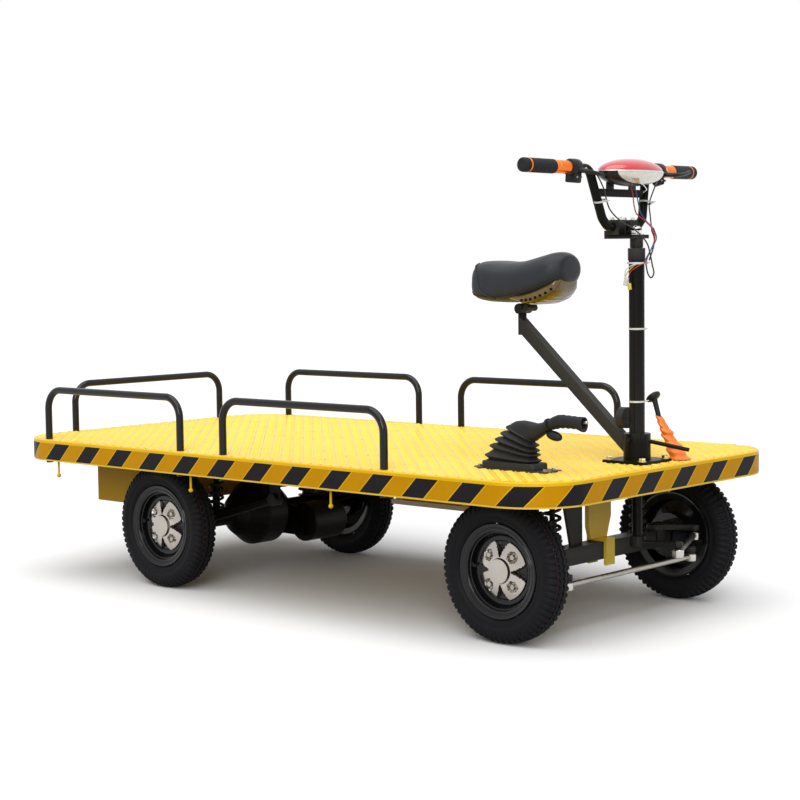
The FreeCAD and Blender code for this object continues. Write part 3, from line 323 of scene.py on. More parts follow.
# Bolts: pressed steel hexagon heads on washers. Yellow zinc ones hold the column's flange to the deck,
# and plain zinc ones hold the handbrake's plate, the wheels and the controls.
zinc = mottled("zinc_plate", (0.30, 0.29, 0.26), (0.46, 0.44, 0.40), 0.3, metallic=1.0, scale=60)
brass_zinc = mottled("yellow_zinc_plate", (0.72, 0.60, 0.22), (0.80, 0.68, 0.35), 0.3, metallic=1.0,
                     scale=60)


BOLT_SIDES = 24
WASHER_THICK = 0.0016
CHAMFER = 0.0008


def hexagon_bolt(points, faces, centre, head, height, washer, axis=Vector((0, 0, 1))):
    """Add a chamfered hexagon head on a round washer to a mesh, standing on centre along axis."""
    turn = axis.to_track_quat("Z", "Y").to_matrix()
    rings = ((washer, 0.0), (washer, WASHER_THICK), (head * 0.98, WASHER_THICK),
             (head, WASHER_THICK + CHAMFER), (head, height * 0.82), (head * 0.84, height))
    first_ring = None
    for radius, lift in rings:
        start = len(points)
        for index in range(BOLT_SIDES):
            angle = 2 * math.pi * index / BOLT_SIDES
            reach = radius
            if radius <= head:
                fold = (angle % (math.pi / 3)) - math.pi / 6
                reach = radius * math.cos(math.pi / 6) / math.cos(fold)
            points.append(centre + turn @ Vector((reach * math.cos(angle), reach * math.sin(angle), lift)))
        if first_ring is not None:
            for index in range(BOLT_SIDES):
                after = (index + 1) % BOLT_SIDES
                faces.append((first_ring + index, first_ring + after, start + after, start + index))
        first_ring = start
    faces.append([first_ring + index for index in range(BOLT_SIDES)])


def bolt_set(name, places, size, material, body, axis=Vector((0, 0, 1))):
    """One piece of like bolts at several places; size is head, height and washer."""
    points = []
    faces = []
    for place in places:
        hexagon_bolt(points, faces, Vector(place), *size, axis)
    return mesh_piece(name, points, faces, material, body)


COLUMN = Vector((0.866, 0, 0))
FLANGE_TOP = DECK_TOP + 0.008
FLANGE_BOLT = 0.048
flange_places = [(COLUMN.x + side_x * FLANGE_BOLT, side_y * FLANGE_BOLT, FLANGE_TOP)
                 for side_x in (-1, 1) for side_y in (-1, 1)]
bolt_set("flange_bolts", flange_places, (0.0085, 0.0085, 0.0105), brass_zinc, "chassis")

# Tyres: black scooter tyres with a zigzag centre, two block rows and shoulder lugs, smooth walls
# with fine mould rings. The red wear line runs round the tread's outer groove.
TREAD_PITCHES = 64
tyre_rubber = mottled("tyre_rubber", (0.007, 0.007, 0.008), (0.016, 0.016, 0.018), 0.6, scale=40, bump=0.12,
                      grain=420, shine=0.09)
TYRE_ROWS = (
    # radius, axial place, shoulder groove depth, zigzag share, all in metres from the wheel's centre
    (0.1130, 0.0262, 0, 0),
    (0.1165, 0.0318, 0, 0),
    (0.1215, 0.0348, 0, 0),
    (0.1222, 0.0356, 0, 0),
    (0.1262, 0.0360, 0, 0),
    (0.1270, 0.0354, 0, 0),
    (0.1380, 0.0366, 0, 0),
    (0.1388, 0.0371, 0, 0),
    (0.1430, 0.0370, 0.2, 0),
    (0.1500, 0.0362, 0.8, 0),
    (0.1580, 0.0340, 1, 0),
    (0.1640, 0.0300, 1, 0),
    (0.1680, 0.0255, 1, 0),
    (0.1697, 0.0185, 1, 0.4),
    (0.1700, 0.0165, 1, 0.8),
    (0.1655, 0.0157, 0, 0.8),
    (0.1655, 0.0130, 0, 0.8),
    (0.1707, 0.0122, 0.6, 0.8),
    (0.1712, 0.0080, 0, 0.8),
    (0.1716, 0.0034, 0, 1),
    (0.1668, 0.0026, 0, 1),
)
PITCH_STEPS = (0.0, 0.04, 0.20, 0.26, 0.52, 0.76)
OUTER_GROOVE = (0, 1, 2)
INNER_GROOVE = (4, 5)
LUG_DEPTH = 0.0052
ZIGZAG = 0.0022


def tyre_mesh(name, centre, body, outward):
    """A tyre's skin with its tread; the lug grooves of the two shoulders stand half a pitch apart."""
    profile = list(TYRE_ROWS) + [(r, -w, depth, zig) for r, w, depth, zig in reversed(TYRE_ROWS)]
    points = []
    for pitch in range(TREAD_PITCHES):
        for index, step in enumerate(PITCH_STEPS):
            angle = 2 * math.pi * (pitch + step) / TREAD_PITCHES
            wave = abs(step - 0.5) * 4 - 1
            for radius, axial, depth, zig in profile:
                grooved = index in (INNER_GROOVE if axial < 0 else OUTER_GROOVE)
                reach = radius - (LUG_DEPTH * depth if grooved else 0)
                side = axial + zig * ZIGZAG * wave
                points.append(centre + Vector((math.cos(angle) * reach, outward * side,
                                               math.sin(angle) * reach)))
    faces = []
    across = len(profile)
    around = TREAD_PITCHES * len(PITCH_STEPS)
    for step in range(around):
        after = (step + 1) % around
        for row in range(across - 1):
            face = (step * across + row, step * across + row + 1,
                    after * across + row + 1, after * across + row)
            faces.append(face if outward > 0 else face[::-1])
    return mesh_piece(name, points, faces, tyre_rubber, body)


def smooth_by_angle(piece, degrees):
    """Smooth shading broken at edges sharper than an angle."""
    mesh = piece.data
    mesh.shade_smooth()
    mesh.set_sharp_from_angle(angle=math.radians(degrees))


WHEELS = {
    # place: how far out along Y the wheel faces
    "front_left": 1,
    "front_right": -1,
    "rear_left": 1,
    "rear_right": -1,
}
red_line = mottled("tread_line_red", (0.24, 0.02, 0.025), (0.32, 0.04, 0.04), 0.6)
for wheel, outward in WHEELS.items():
    low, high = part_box(f"tyre_{wheel}")
    centre = (low + high) / 2
    tyre = tyre_mesh(f"tread_{wheel}", centre, f"wheel_{wheel}", outward)
    smooth_by_angle(tyre, 32)
    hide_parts(f"tyre_{wheel}")
    line = []
    for pitch in range(TREAD_PITCHES):
        for step in PITCH_STEPS:
            angle = 2 * math.pi * (pitch + step) / TREAD_PITCHES
            wave = abs(step - 0.5) * 4 - 1
            for side in (-0.0009, 0.0009):
                place = Vector((math.cos(angle) * 0.1657, outward * (0.0143 + 0.8 * ZIGZAG * wave + side),
                                math.sin(angle) * 0.1657))
                line.append(centre + place)
    count = len(line) // 2
    strips = [(2 * index, 2 * index + 1, (2 * index + 3) % (2 * count), (2 * index + 2) % (2 * count))
              for index in range(count)]
    mesh_piece(f"tread_line_{wheel}", line, strips, red_line, f"wheel_{wheel}")

# Rims and hub caps: gloss black pressed rims, and a cast chrome cap of four lobes round a raised
# disc, each lobe with a deep round pocket and a domed wheel nut in it.
dress(gloss_black, *[f"rim_{wheel}" for wheel in WHEELS])
RIM_PROFILE = (
    # radius, how far out from the wheel's middle plane: rolled flange, two rings in the dish, the web
    (0.1124, 0.0270),
    (0.1126, 0.0300),
    (0.1112, 0.0318),
    (0.1088, 0.0320),
    (0.1066, 0.0306),
    (0.1052, 0.0298),
    (0.1036, 0.0297),
    (0.1028, 0.0304),
    (0.1008, 0.0304),
    (0.1000, 0.0292),
    (0.0952, 0.0278),
    (0.0932, 0.0262),
    (0.0924, 0.0236),
    (0.0920, 0.0190),
    (0.0898, 0.0176),
    (0.0894, 0.0120),
    (0.0890, 0.0060),
    (0.0872, 0.0032),
    (0.0846, 0.0036),
    (0.0830, 0.0080),
    (0.0812, 0.0092),
    (0.0740, 0.0092),
    (0.0700, 0.0070),
)


def lathe(name, centre, profile, outward, material, body, steps=96, angle=40):
    """A turned skin round the wheel's axle from radii and places out along it."""
    rings = []
    for radius, out in profile:
        rings.append([centre + Vector((radius * math.cos(turn), outward * out, radius * math.sin(turn)))
                      for turn in (2 * math.pi * step / steps for step in range(steps))])
    faces = []
    for ring in range(len(rings) - 1):
        for step in range(steps):
            after = (step + 1) % steps
            face = (ring * steps + step, ring * steps + after,
                    (ring + 1) * steps + after, (ring + 1) * steps + step)
            faces.append(face if outward < 0 else face[::-1])
    piece = mesh_piece(name, [point for ring in rings for point in ring], faces, material, body)
    smooth_by_angle(piece, angle)
    return piece


for wheel, outward in WHEELS.items():
    low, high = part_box(f"tyre_{wheel}")
    centre = (low + high) / 2
    lathe(f"rim_dish_{wheel}", centre, RIM_PROFILE, outward, gloss_black, f"wheel_{wheel}")
chrome = mottled("cap_chrome", (0.36, 0.33, 0.29), (0.54, 0.50, 0.46), 0.16, metallic=1.0, scale=22,
                 bump=0.03, spread=0.06)
CAP_R = 0.0705
NUT_CIRCLE = 0.0490
NUT_POCKET = 0.0128


def cap_height(x, z):
    """How far the cap's face stands out from its back, over the wheel's middle plane."""
    radius = math.hypot(x, z)
    slope = min(max((radius - 0.030) / (CAP_R - 0.030), 0), 1)
    height = 0.0215 - 0.0105 * slope ** 1.6
    if radius < 0.0285:
        height = 0.0290 - 0.0015 * (radius / 0.0285) ** 2
    elif radius < 0.0310:
        height = 0.0275 - (radius - 0.0285) * 2.4
    for lobe in range(4):
        angle = math.radians(45 + 90 * lobe)
        away = math.hypot(x - NUT_CIRCLE * math.cos(angle), z - NUT_CIRCLE * math.sin(angle))
        if away < NUT_POCKET:
            height = min(height, 0.0085 + max(away - NUT_POCKET * 0.8, 0) * 2.2)
    return height


def in_lobe(angle, radius):
    """Whether a place lies on a lobe; V cut-outs at the quarters open outward from the disc."""
    fold = abs((math.degrees(angle) + 45) % 90 - 45)
    if radius <= 0.033:
        return True
    return fold > 4 + 13 * (radius - 0.033) / (CAP_R - 0.033)


for wheel, outward in WHEELS.items():
    low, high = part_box(f"tyre_{wheel}")
    centre = (low + high) / 2
    rings = [0.0] + [0.0285 * step / 5 for step in range(1, 6)] + [0.0310, 0.0330]
    rings += [0.0330 + (CAP_R - 0.0330) * step / 13 for step in range(1, 14)]
    spokes = 144
    points = []
    for radius in rings:
        for spoke in range(spokes):
            angle = 2 * math.pi * spoke / spokes
            x = radius * math.cos(angle)
            z = radius * math.sin(angle)
            points.append(centre + Vector((x, outward * cap_height(x, z), z)))
    faces = []
    for ring in range(len(rings) - 1):
        middle = (rings[ring] + rings[ring + 1]) / 2
        for spoke in range(spokes):
            if not in_lobe(2 * math.pi * (spoke + 0.5) / spokes, middle):
                continue
            after = (spoke + 1) % spokes
            face = (ring * spokes + spoke, ring * spokes + after,
                    (ring + 1) * spokes + after, (ring + 1) * spokes + spoke)
            faces.append(face if outward < 0 else face[::-1])
    cap = mesh_piece(f"lobed_cap_{wheel}", points, faces, chrome, f"wheel_{wheel}")
    work = bmesh.new()
    work.from_mesh(cap.data)
    bmesh.ops.remove_doubles(work, verts=work.verts, dist=0.00001)
    bmesh.ops.delete(work, geom=[vert for vert in work.verts if not vert.link_faces], context="VERTS")
    rim_edges = [edge for edge in work.edges if edge.is_boundary]
    walls = bmesh.ops.extrude_edge_only(work, edges=rim_edges)["geom"]
    moved = [item for item in walls if isinstance(item, bmesh.types.BMVert)]
    for vert in moved:
        vert.co.y = centre.y + outward * 0.006
    bmesh.ops.recalc_face_normals(work, faces=work.faces)
    work.to_mesh(cap.data)
    work.free()
    smooth_by_angle(cap, 40)
    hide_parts(f"cap_{wheel}")
    nut_places = []
    for lobe in range(4):
        angle = math.radians(45 + 90 * lobe)
        nut_places.append(centre + Vector((NUT_CIRCLE * math.cos(angle), outward * 0.0085,
                                           NUT_CIRCLE * math.sin(angle))))
    nut_set = bolt_set(f"wheel_nuts_{wheel}", nut_places, (0.0072, 0.0105, 0.0088), zinc, f"wheel_{wheel}",
                       Vector((0, outward, 0)))
    smooth_by_angle(nut_set, 30)

# Saddle: a dark vinyl cover over foam on a black moulded pan. The cover's top dips in the middle,
# its sides roll under to the pan's edge, and a welt runs down each rear corner.
vinyl = mottled("saddle_vinyl", (0.022, 0.025, 0.031), (0.034, 0.037, 0.044), 0.42, scale=26, bump=0.16,
                grain=700, spread=0.08, shine=0.22)
SADDLE_SECTIONS = (
    # x, half width, bottom z, top z, squareness of the section
    (0.404, 0.058, 0.812, 0.868, 2.6),
    (0.409, 0.074, 0.801, 0.880, 3.2),
    (0.424, 0.086, 0.792, 0.888, 3.8),
    (0.455, 0.092, 0.787, 0.888, 3.8),
    (0.505, 0.090, 0.785, 0.884, 3.4),
    (0.550, 0.084, 0.789, 0.887, 3.0),
    (0.595, 0.078, 0.801, 0.898, 2.8),
    (0.635, 0.070, 0.817, 0.908, 2.6),
    (0.660, 0.056, 0.832, 0.907, 2.4),
    (0.673, 0.036, 0.846, 0.896, 2.2),
)


def superellipse(angle, power):
    """A rounded square outline on the unit square, from an ellipse at power 2 to square above."""
    c = math.cos(angle)
    s = math.sin(angle)
    return (math.copysign(abs(c) ** (2 / power), c), math.copysign(abs(s) ** (2 / power), s))


def saddle_point(x, angle, swell=0.0):
    """A point of the cover's section at x, swollen outward a little where asked."""
    stations, widths, lows, highs, powers = zip(*SADDLE_SECTIONS)
    half_width = np.interp(x, stations, widths) + swell
    low = np.interp(x, stations, lows) - swell
    high = np.interp(x, stations, highs) + swell
    across, up = superellipse(angle, np.interp(x, stations, powers))
    crown = 0.004 * (1 - across * across) * max(up, 0)
    middle = (low + high) / 2
    return Vector((x, across * half_width * (1 - 0.05 * up), middle + up * (high - low) / 2 + crown))


def skin(name, rings, material, body, closed=True, angle=60):
    """A skin through rings of points, with its two ends capped when closed."""
    points = [point for ring in rings for point in ring]
    around = len(rings[0])
    faces = []
    for ring in range(len(rings) - 1):
        for step in range(around):
            after = (step + 1) % around
            faces.append((ring * around + step, ring * around + after,
                          (ring + 1) * around + after, (ring + 1) * around + step))
    if closed:
        faces.append([step for step in range(around)][::-1])
        faces.append([(len(rings) - 1) * around + step for step in range(around)])
    piece = mesh_piece(name, points, faces, material, body)
    work = bmesh.new()
    work.from_mesh(piece.data)
    bmesh.ops.recalc_face_normals(work, faces=work.faces)
    work.to_mesh(piece.data)
    work.free()
    smooth_by_angle(piece, angle)
    return piece


def tube(name, path, radius, material, body, sides=10):
    """A round tube of wire, cord or bar along a path, with its ends closed."""
    rings = []
    normal = None
    for index, place in enumerate(path):
        ahead = (path[min(index + 1, len(path) - 1)] - path[max(index - 1, 0)]).normalized()
        if normal is None:
            normal = ahead.orthogonal().normalized()
        normal = (normal - ahead * normal.dot(ahead)).normalized()
        other = ahead.cross(normal)
        width = radius[index] if isinstance(radius, list) else radius
        rings.append([place + (normal * math.cos(turn) + other * math.sin(turn)) * width
                      for turn in (2 * math.pi * side / sides for side in range(sides))])
    return skin(name, rings, material, body)


def smooth_path(corners, steps=10):
    """A smooth run through corner points (Catmull-Rom)."""
    corners = [Vector(corner) for corner in corners]
    padded = [corners[0] * 2 - corners[1]] + corners + [corners[-1] * 2 - corners[-2]]
    path = []
    for index in range(1, len(padded) - 2):
        before, here, there, beyond = padded[index - 1:index + 3]
        for step in range(steps):
            t = step / steps
            path.append(here * 0.5 * (2 - 5 * t * t + 3 * t ** 3) + before * 0.5 * (-t + 2 * t * t - t ** 3)
                        + there * 0.5 * (t + 4 * t * t - 3 * t ** 3) + beyond * 0.5 * (t ** 3 - t * t))
    path.append(corners[-1])
    return path


SADDLE_RING = 48
stations = [0.404, 0.4065, 0.412, 0.424] + [0.424 + 0.012 * step for step in range(1, 20)] + [0.667, 0.673]
saddle_turns = [2 * math.pi * step / SADDLE_RING for step in range(SADDLE_RING)]
rings = [[saddle_point(x, turn) for turn in saddle_turns] for x in stations]
cushion = skin("saddle_cushion", rings, vinyl, "chassis")
rounding = cushion.modifiers.new("rounding", "SUBSURF")
rounding.levels = 1
rounding.render_levels = 2
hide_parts("saddle")
for side, turns in (("right", (118, 180, 222)), ("left", (62, 0, -42))):
    seam = []
    for share in range(31):
        angle = np.interp(share / 30, (0, 0.5, 1), turns)
        x = 0.420 + 0.075 * (share / 30) ** 1.7
        seam.append(saddle_point(x, math.radians(float(angle)), 0.0006))
    tube(f"saddle_welt_{side}", seam, 0.0017, vinyl, "chassis", sides=8)
hem = [saddle_point(0.409 + 0.0085 * step, math.radians(212), 0.0004) for step in range(31)]
tube("saddle_hem", hem, 0.0012, vinyl, "chassis", sides=8)

# Saddle pan: a glossy brown-black moulded shell under the cover, ribbed, with a row of drain holes along its
# front edge, drawn as dark plugs of painted shade. The cover is stretched over its rim, and the post is
# clamped to its middle.
pan_brown = mottled("pan_plastic", (0.07, 0.042, 0.005), (0.20, 0.12, 0.012), 0.24, coat=0.3, scale=34,
                    spread=0.1)
PAN_SECTIONS = (
    # x, half width, bottom z, top z
    (0.425, 0.052, 0.7960, 0.804),
    (0.436, 0.066, 0.7960, 0.806),
    (0.500, 0.074, 0.7950, 0.808),
    (0.540, 0.074, 0.7910, 0.810),
    (0.570, 0.075, 0.7815, 0.812),
    (0.600, 0.071, 0.7830, 0.820),
    (0.630, 0.062, 0.7935, 0.834),
    (0.652, 0.050, 0.8100, 0.848),
    (0.664, 0.034, 0.8290, 0.858),
)
rings = []
for x in [0.425 + 0.239 * step / 60 for step in range(61)]:
    stations, widths, lows, highs = zip(*PAN_SECTIONS)
    rib = 0.0016 if int(x * 1000) % 16 < 5 and x > 0.55 else 0.0
    half_width = np.interp(x, stations, widths)
    low = np.interp(x, stations, lows) - rib
    high = np.interp(x, stations, highs)
    ring = []
    for step in range(36):
        across, up = superellipse(2 * math.pi * step / 36, 3.0)
        ring.append(Vector((x, across * half_width, (low + high) / 2 + up * (high - low) / 2)))
    rings.append(ring)
pan = skin("saddle_pan_shell", rings, pan_brown, "chassis", angle=30)
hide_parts("saddle_pan")
# Near-black plugs through the pan's edge stand for the holes: painted shade for their insides.
hole_shade_paint = mottled("pan_hole_shade", (0.004, 0.003, 0.002), (0.008, 0.006, 0.004), 0.8, shine=0.1)
for number in range(7):
    x = 0.572 + 0.0125 * number
    stations, widths, lows, highs = zip(*PAN_SECTIONS)
    y = -(np.interp(x, stations, widths) - 0.0035)
    z = np.interp(x, stations, lows) * 0.62 + np.interp(x, stations, highs) * 0.38
    hole = [Vector((x, y + 0.006, z)), Vector((x, y - 0.0048, z - 0.0012))]
    tube(f"pan_hole_shade_{number}", hole, 0.0034, hole_shade_paint, "chassis", sides=14)

# Handbrake boot: folded black rubber over the lever's root, each fold a rounded ring that leans
# forward. Its square skirt is held down by the plate, and its sleeve closes on the grip.
boot_rubber = mottled("boot_rubber", (0.014, 0.014, 0.015), (0.028, 0.028, 0.030), 0.46, scale=26,
                      bump=0.06, shine=0.18)
orange_rubber = mottled("orange_rubber", (0.86, 0.17, 0.012), (0.95, 0.24, 0.02), 0.42, scale=20, bump=0.05)
grip_black = mottled("grip_rubber", (0.014, 0.014, 0.015), (0.026, 0.026, 0.028), 0.5, scale=60, bump=0.1,
                     grain=500, shine=0.16)
control_black = mottled("control_plastic", (0.010, 0.010, 0.011), (0.020, 0.020, 0.022), 0.34, scale=40,
                        shine=0.2)


BOOT_REAR = 0.640
BOOT_FRONT = 0.802
BOOT_Y = -0.295
BOOT_FOLDS = (
    # in from the rim at the rear and at the front, crest height at the rear and at the front, half width
    (0.004, 0.012, 0.029, 0.020, 0.0310),
    (0.018, 0.014, 0.052, 0.033, 0.0290),
    (0.034, 0.016, 0.068, 0.043, 0.0270),
    (0.050, 0.017, 0.083, 0.055, 0.0250),
    (0.066, 0.018, 0.098, 0.069, 0.0230),
)
BOOT_SLEEVE = (
    # rear or upper point x and height, front or lower point x and height, half width
    (0.7115, 0.098, 0.7790, 0.068, 0.0215),
    (0.7180, 0.106, 0.7830, 0.069, 0.0200),
    (0.7310, 0.112, 0.7880, 0.070, 0.0195),
    (0.7500, 0.114, 0.7940, 0.073, 0.0185),
    (0.7700, 0.112, 0.8000, 0.076, 0.0170),
    (0.7900, 0.109, 0.8070, 0.081, 0.0155),
    (0.8060, 0.112, 0.8160, 0.087, 0.0145),
    (0.8150, 0.117, 0.8220, 0.092, 0.0140),
    (0.8165, 0.121, 0.8250, 0.091, 0.0165),
    (0.8220, 0.1225, 0.8300, 0.094, 0.0165),
    (0.8228, 0.1180, 0.8290, 0.098, 0.0130),
)


def boot_ring(rear, front, low_z, high_z, half_y):
    """A ring between its rear and front ends, tilted when they differ in height."""
    centre = ((rear + front) / 2, BOOT_Y, 0.404 + (low_z + high_z) / 2)
    half_x = math.hypot(front - rear, high_z - low_z) / 2
    tilt = math.degrees(math.atan2(high_z - low_z, front - rear))
    return (centre, half_x, half_y, tilt)


rings = [
    boot_ring(BOOT_REAR, BOOT_FRONT, 0.0, 0.0, 0.033),
    boot_ring(BOOT_REAR, BOOT_FRONT, 0.0125, 0.0125, 0.033),
    boot_ring(BOOT_REAR + 0.002, BOOT_FRONT - 0.002, 0.0155, 0.0150, 0.0315),
    boot_ring(BOOT_REAR + 0.007, BOOT_FRONT - 0.008, 0.0165, 0.0155, 0.0270),
]
for rear, front, rear_z, front_z, half_y in BOOT_FOLDS:
    back = BOOT_REAR + rear
    fore = BOOT_FRONT - front
    rings += [
        boot_ring(back + 0.0090, fore - 0.0080, rear_z - 0.0085, front_z - 0.0050, half_y - 0.0080),
        boot_ring(back + 0.0010, fore - 0.0010, rear_z - 0.0018, front_z - 0.0015, half_y - 0.0006),
        boot_ring(back, fore, rear_z + 0.0005, front_z + 0.0002, half_y),
        boot_ring(back + 0.0020, fore - 0.0015, rear_z + 0.0022, front_z + 0.0015, half_y - 0.0014),
        boot_ring(back + 0.0080, fore - 0.0060, rear_z + 0.0050, front_z + 0.0030, half_y - 0.0055),
    ]
rings += [boot_ring(rear, front, rear_z, front_z, half_y)
          for rear, rear_z, front, front_z, half_y in BOOT_SLEEVE]
FOOT_RINGS = 4
SLEEVE_SQUARENESS = [3.4, 3.0, 2.8, 2.6, 2.5, 2.4, 2.2, 2, 2, 2, 2]
power = [6.0] * FOOT_RINGS + [4.5] * (len(rings) - FOOT_RINGS - len(BOOT_SLEEVE)) + SLEEVE_SQUARENESS
boot_rings = []
for (centre, half_x, half_y, tilt), squareness in zip(rings, power):
    lean = math.radians(tilt)
    ring = []
    for step in range(72):
        u, v = superellipse(2 * math.pi * step / 72, squareness)
        ring.append(Vector(centre) + Vector((u * half_x * math.cos(lean), v * half_y,
                                             u * half_x * math.sin(lean))))
    boot_rings.append(ring)
boot = skin("handbrake_bellows", boot_rings, boot_rubber, "chassis", angle=50)
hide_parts("handbrake_boot")

# Handbrake plate: a thin pressed steel plate that narrows to the rear and runs to a point in front,
# painted satin black and bolted to the deck at its ends.
PLATE_BOTTOM = 0.4002
PLATE_TOP = 0.4038
outline = [(0.611, -0.311), (0.640, -0.329), (0.812, -0.330), (0.836, -0.322), (0.837, -0.300),
           (0.834, -0.262), (0.812, -0.259), (0.640, -0.261), (0.612, -0.272)]
low_ring = [Vector((x, y, PLATE_BOTTOM)) for x, y in outline]
top_ring = [Vector((x, y, PLATE_TOP)) for x, y in outline]
base_plate = skin("handbrake_base", [low_ring, top_ring], satin_black, "chassis", angle=30)
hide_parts("handbrake_plate")
bolt_places = [(x, y, PLATE_TOP) for x, y in ((0.624, -0.305), (0.824, -0.312), (0.822, -0.276))]
bolt_set("handbrake_bolts", bolt_places, (0.0050, 0.005, 0.0065), zinc, "chassis")

# Handbrake lever: a moulded grip with finger ribs below and creases above, a release button at its
# end and a black knob under its root
LEVER_LINE = (
    # x, centre height, half height, half width
    (0.8280, 0.5115, 0.0125, 0.0125),
    (0.8320, 0.5135, 0.0145, 0.0140),
    (0.8400, 0.5165, 0.0155, 0.0150),
    (0.8560, 0.5210, 0.0158, 0.0152),
    (0.8750, 0.5210, 0.0150, 0.0150),
    (0.9000, 0.5200, 0.0146, 0.0150),
    (0.9120, 0.5185, 0.0158, 0.0152),
    (0.9190, 0.5170, 0.0175, 0.0155),
    (0.9245, 0.5165, 0.0175, 0.0150),
)
rings = []
stations, middles, heights, widths = zip(*LEVER_LINE)
for step in range(61):
    x = 0.8280 + 0.0965 * step / 60
    ring = []
    finger = 0.0011 * math.sin((x - 0.846) / 0.062 * 8 * math.pi) if 0.846 < x < 0.908 else 0.0
    for turn in range(32):
        across, up = superellipse(2 * math.pi * turn / 32, 2.2)
        swell = finger * (-up) if up < 0 else 0.5 * finger * up
        height = np.interp(x, stations, heights) + swell
        ring.append(Vector((x, BOOT_Y + across * np.interp(x, stations, widths),
                            np.interp(x, stations, middles) + up * height)))
    rings.append(ring)
GRIP_END = Vector((0.9245, BOOT_Y, 0.5165))
for inset, share in ((0.0, 0.75), (-0.010, 0.62)):
    middle = GRIP_END + Vector((inset, 0, 0.0020))
    rings.append([middle + (point - GRIP_END) * share for point in rings[60]])
grip = skin("handbrake_grip", rings, grip_black, "chassis", angle=45)
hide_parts("handbrake_lever")
button = [Vector((x, BOOT_Y, z)) for x, z in ((0.912, 0.5200), (0.930, 0.5215), (0.9335, 0.5222),
                                               (0.9355, 0.5226))]
tube("handbrake_button", button, [0.0042, 0.0042, 0.0036, 0.0020], zinc, "chassis", sides=16)
rings = []
for step in range(13):
    turn = math.pi * step / 12
    x = 0.8390 - 0.0215 * math.cos(turn)
    size = max(math.sin(turn), 0.05) ** 0.8
    rings.append([Vector((x, BOOT_Y + 0.0105 * size * math.cos(side), 0.4865 + 0.0035 * math.cos(turn)
                          + 0.0118 * size * math.sin(side)))
                  for side in (2 * math.pi * number / 24 for number in range(24))])
skin("handbrake_knob", rings, control_black, "chassis")

# Shift lever: a soft orange rubber bellows that slumps to the rear, pushed over a black stalk, its
# foot flat on the deck, with a moulded mushroom knob on top.
SHIFT_FOOT = Vector((0.922, 0.105, DECK_TOP))
SHIFT_TIP = Vector((0.858, 0.105, DECK_TOP + 0.106))
SHIFT_SHAPE = (
    # share of the height, radius, sideways slump in x, tilt in degrees
    (0.000, 0.0285, 0.000, 0),
    (0.035, 0.0285, 0.000, 0),
    (0.060, 0.0230, 0.000, -2),
    (0.110, 0.0205, -0.001, -4),
    (0.180, 0.0250, -0.002, -8),
    (0.215, 0.0240, -0.002, -9),
    (0.265, 0.0170, -0.001, -10),
    (0.335, 0.0225, 0.002, -6),
    (0.370, 0.0215, 0.002, -6),
    (0.420, 0.0150, 0.000, -12),
    (0.490, 0.0205, -0.003, -18),
    (0.525, 0.0195, -0.003, -18),
    (0.575, 0.0130, -0.001, -16),
    (0.640, 0.0180, 0.001, -12),
    (0.675, 0.0170, 0.001, -12),
    (0.720, 0.0115, 0.000, -20),
    (0.785, 0.0150, -0.001, -24),
    (0.820, 0.0140, -0.001, -24),
    (0.860, 0.0100, 0.000, -22),
    (0.920, 0.0115, 0.000, -20),
    (0.985, 0.0100, 0.000, -20),
    (1.000, 0.0082, 0.000, -20),
)
rings = []
for way, size, slump, tilt in SHIFT_SHAPE:
    lean = math.radians(tilt)
    centre = SHIFT_FOOT.lerp(SHIFT_TIP, way) + Vector((slump, 0, 0))
    rings.append([centre + Vector((size * math.cos(turn) * math.cos(lean), size * math.sin(turn),
                                   size * math.cos(turn) * math.sin(lean)))
                  for turn in (2 * math.pi * number / 40 for number in range(40))])
lowest = DECK_TOP + 0.0005
rings = [[Vector((point.x, point.y, max(point.z, lowest))) for point in ring] for ring in rings]
shift_boot = skin("shift_bellows", rings, orange_rubber, "chassis", angle=80)
boot_round = shift_boot.modifiers.new("rounding", "SUBSURF")
boot_round.levels = 1
boot_round.render_levels = 1
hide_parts("shift_boot")
STALK_FOOT = Vector((0.860, 0.105, DECK_TOP + 0.098))
STALK_TOP = Vector((0.845, 0.105, DECK_TOP + 0.148))
stalk = [STALK_FOOT.lerp(STALK_TOP, share) for share in (0, 0.3, 0.6, 0.85, 1)]
stalk_piece = tube("shift_stalk", stalk, [0.0058, 0.0064, 0.0066, 0.0070, 0.0075], control_black, "chassis",
                   sides=18)
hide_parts("shift_lever")
cap_way = Vector((-0.62, 0, 0.78))
cap_side = Vector((0.78, 0, 0.62))
SIDEWAYS = Vector((0, 1, 0))
rings = []
for rise, size in ((-0.004, 0.006), (-0.003, 0.013), (0.000, 0.0182), (0.004, 0.0200), (0.008, 0.0190),
                   (0.0105, 0.0150), (0.0118, 0.0085), (0.0122, 0.002)):
    rings.append([STALK_TOP + cap_way * rise + (cap_side * math.cos(turn) + SIDEWAYS * math.sin(turn)) * size
                  for turn in (2 * math.pi * number / 32 for number in range(32))])
skin("shift_knob", rings, control_black, "chassis")

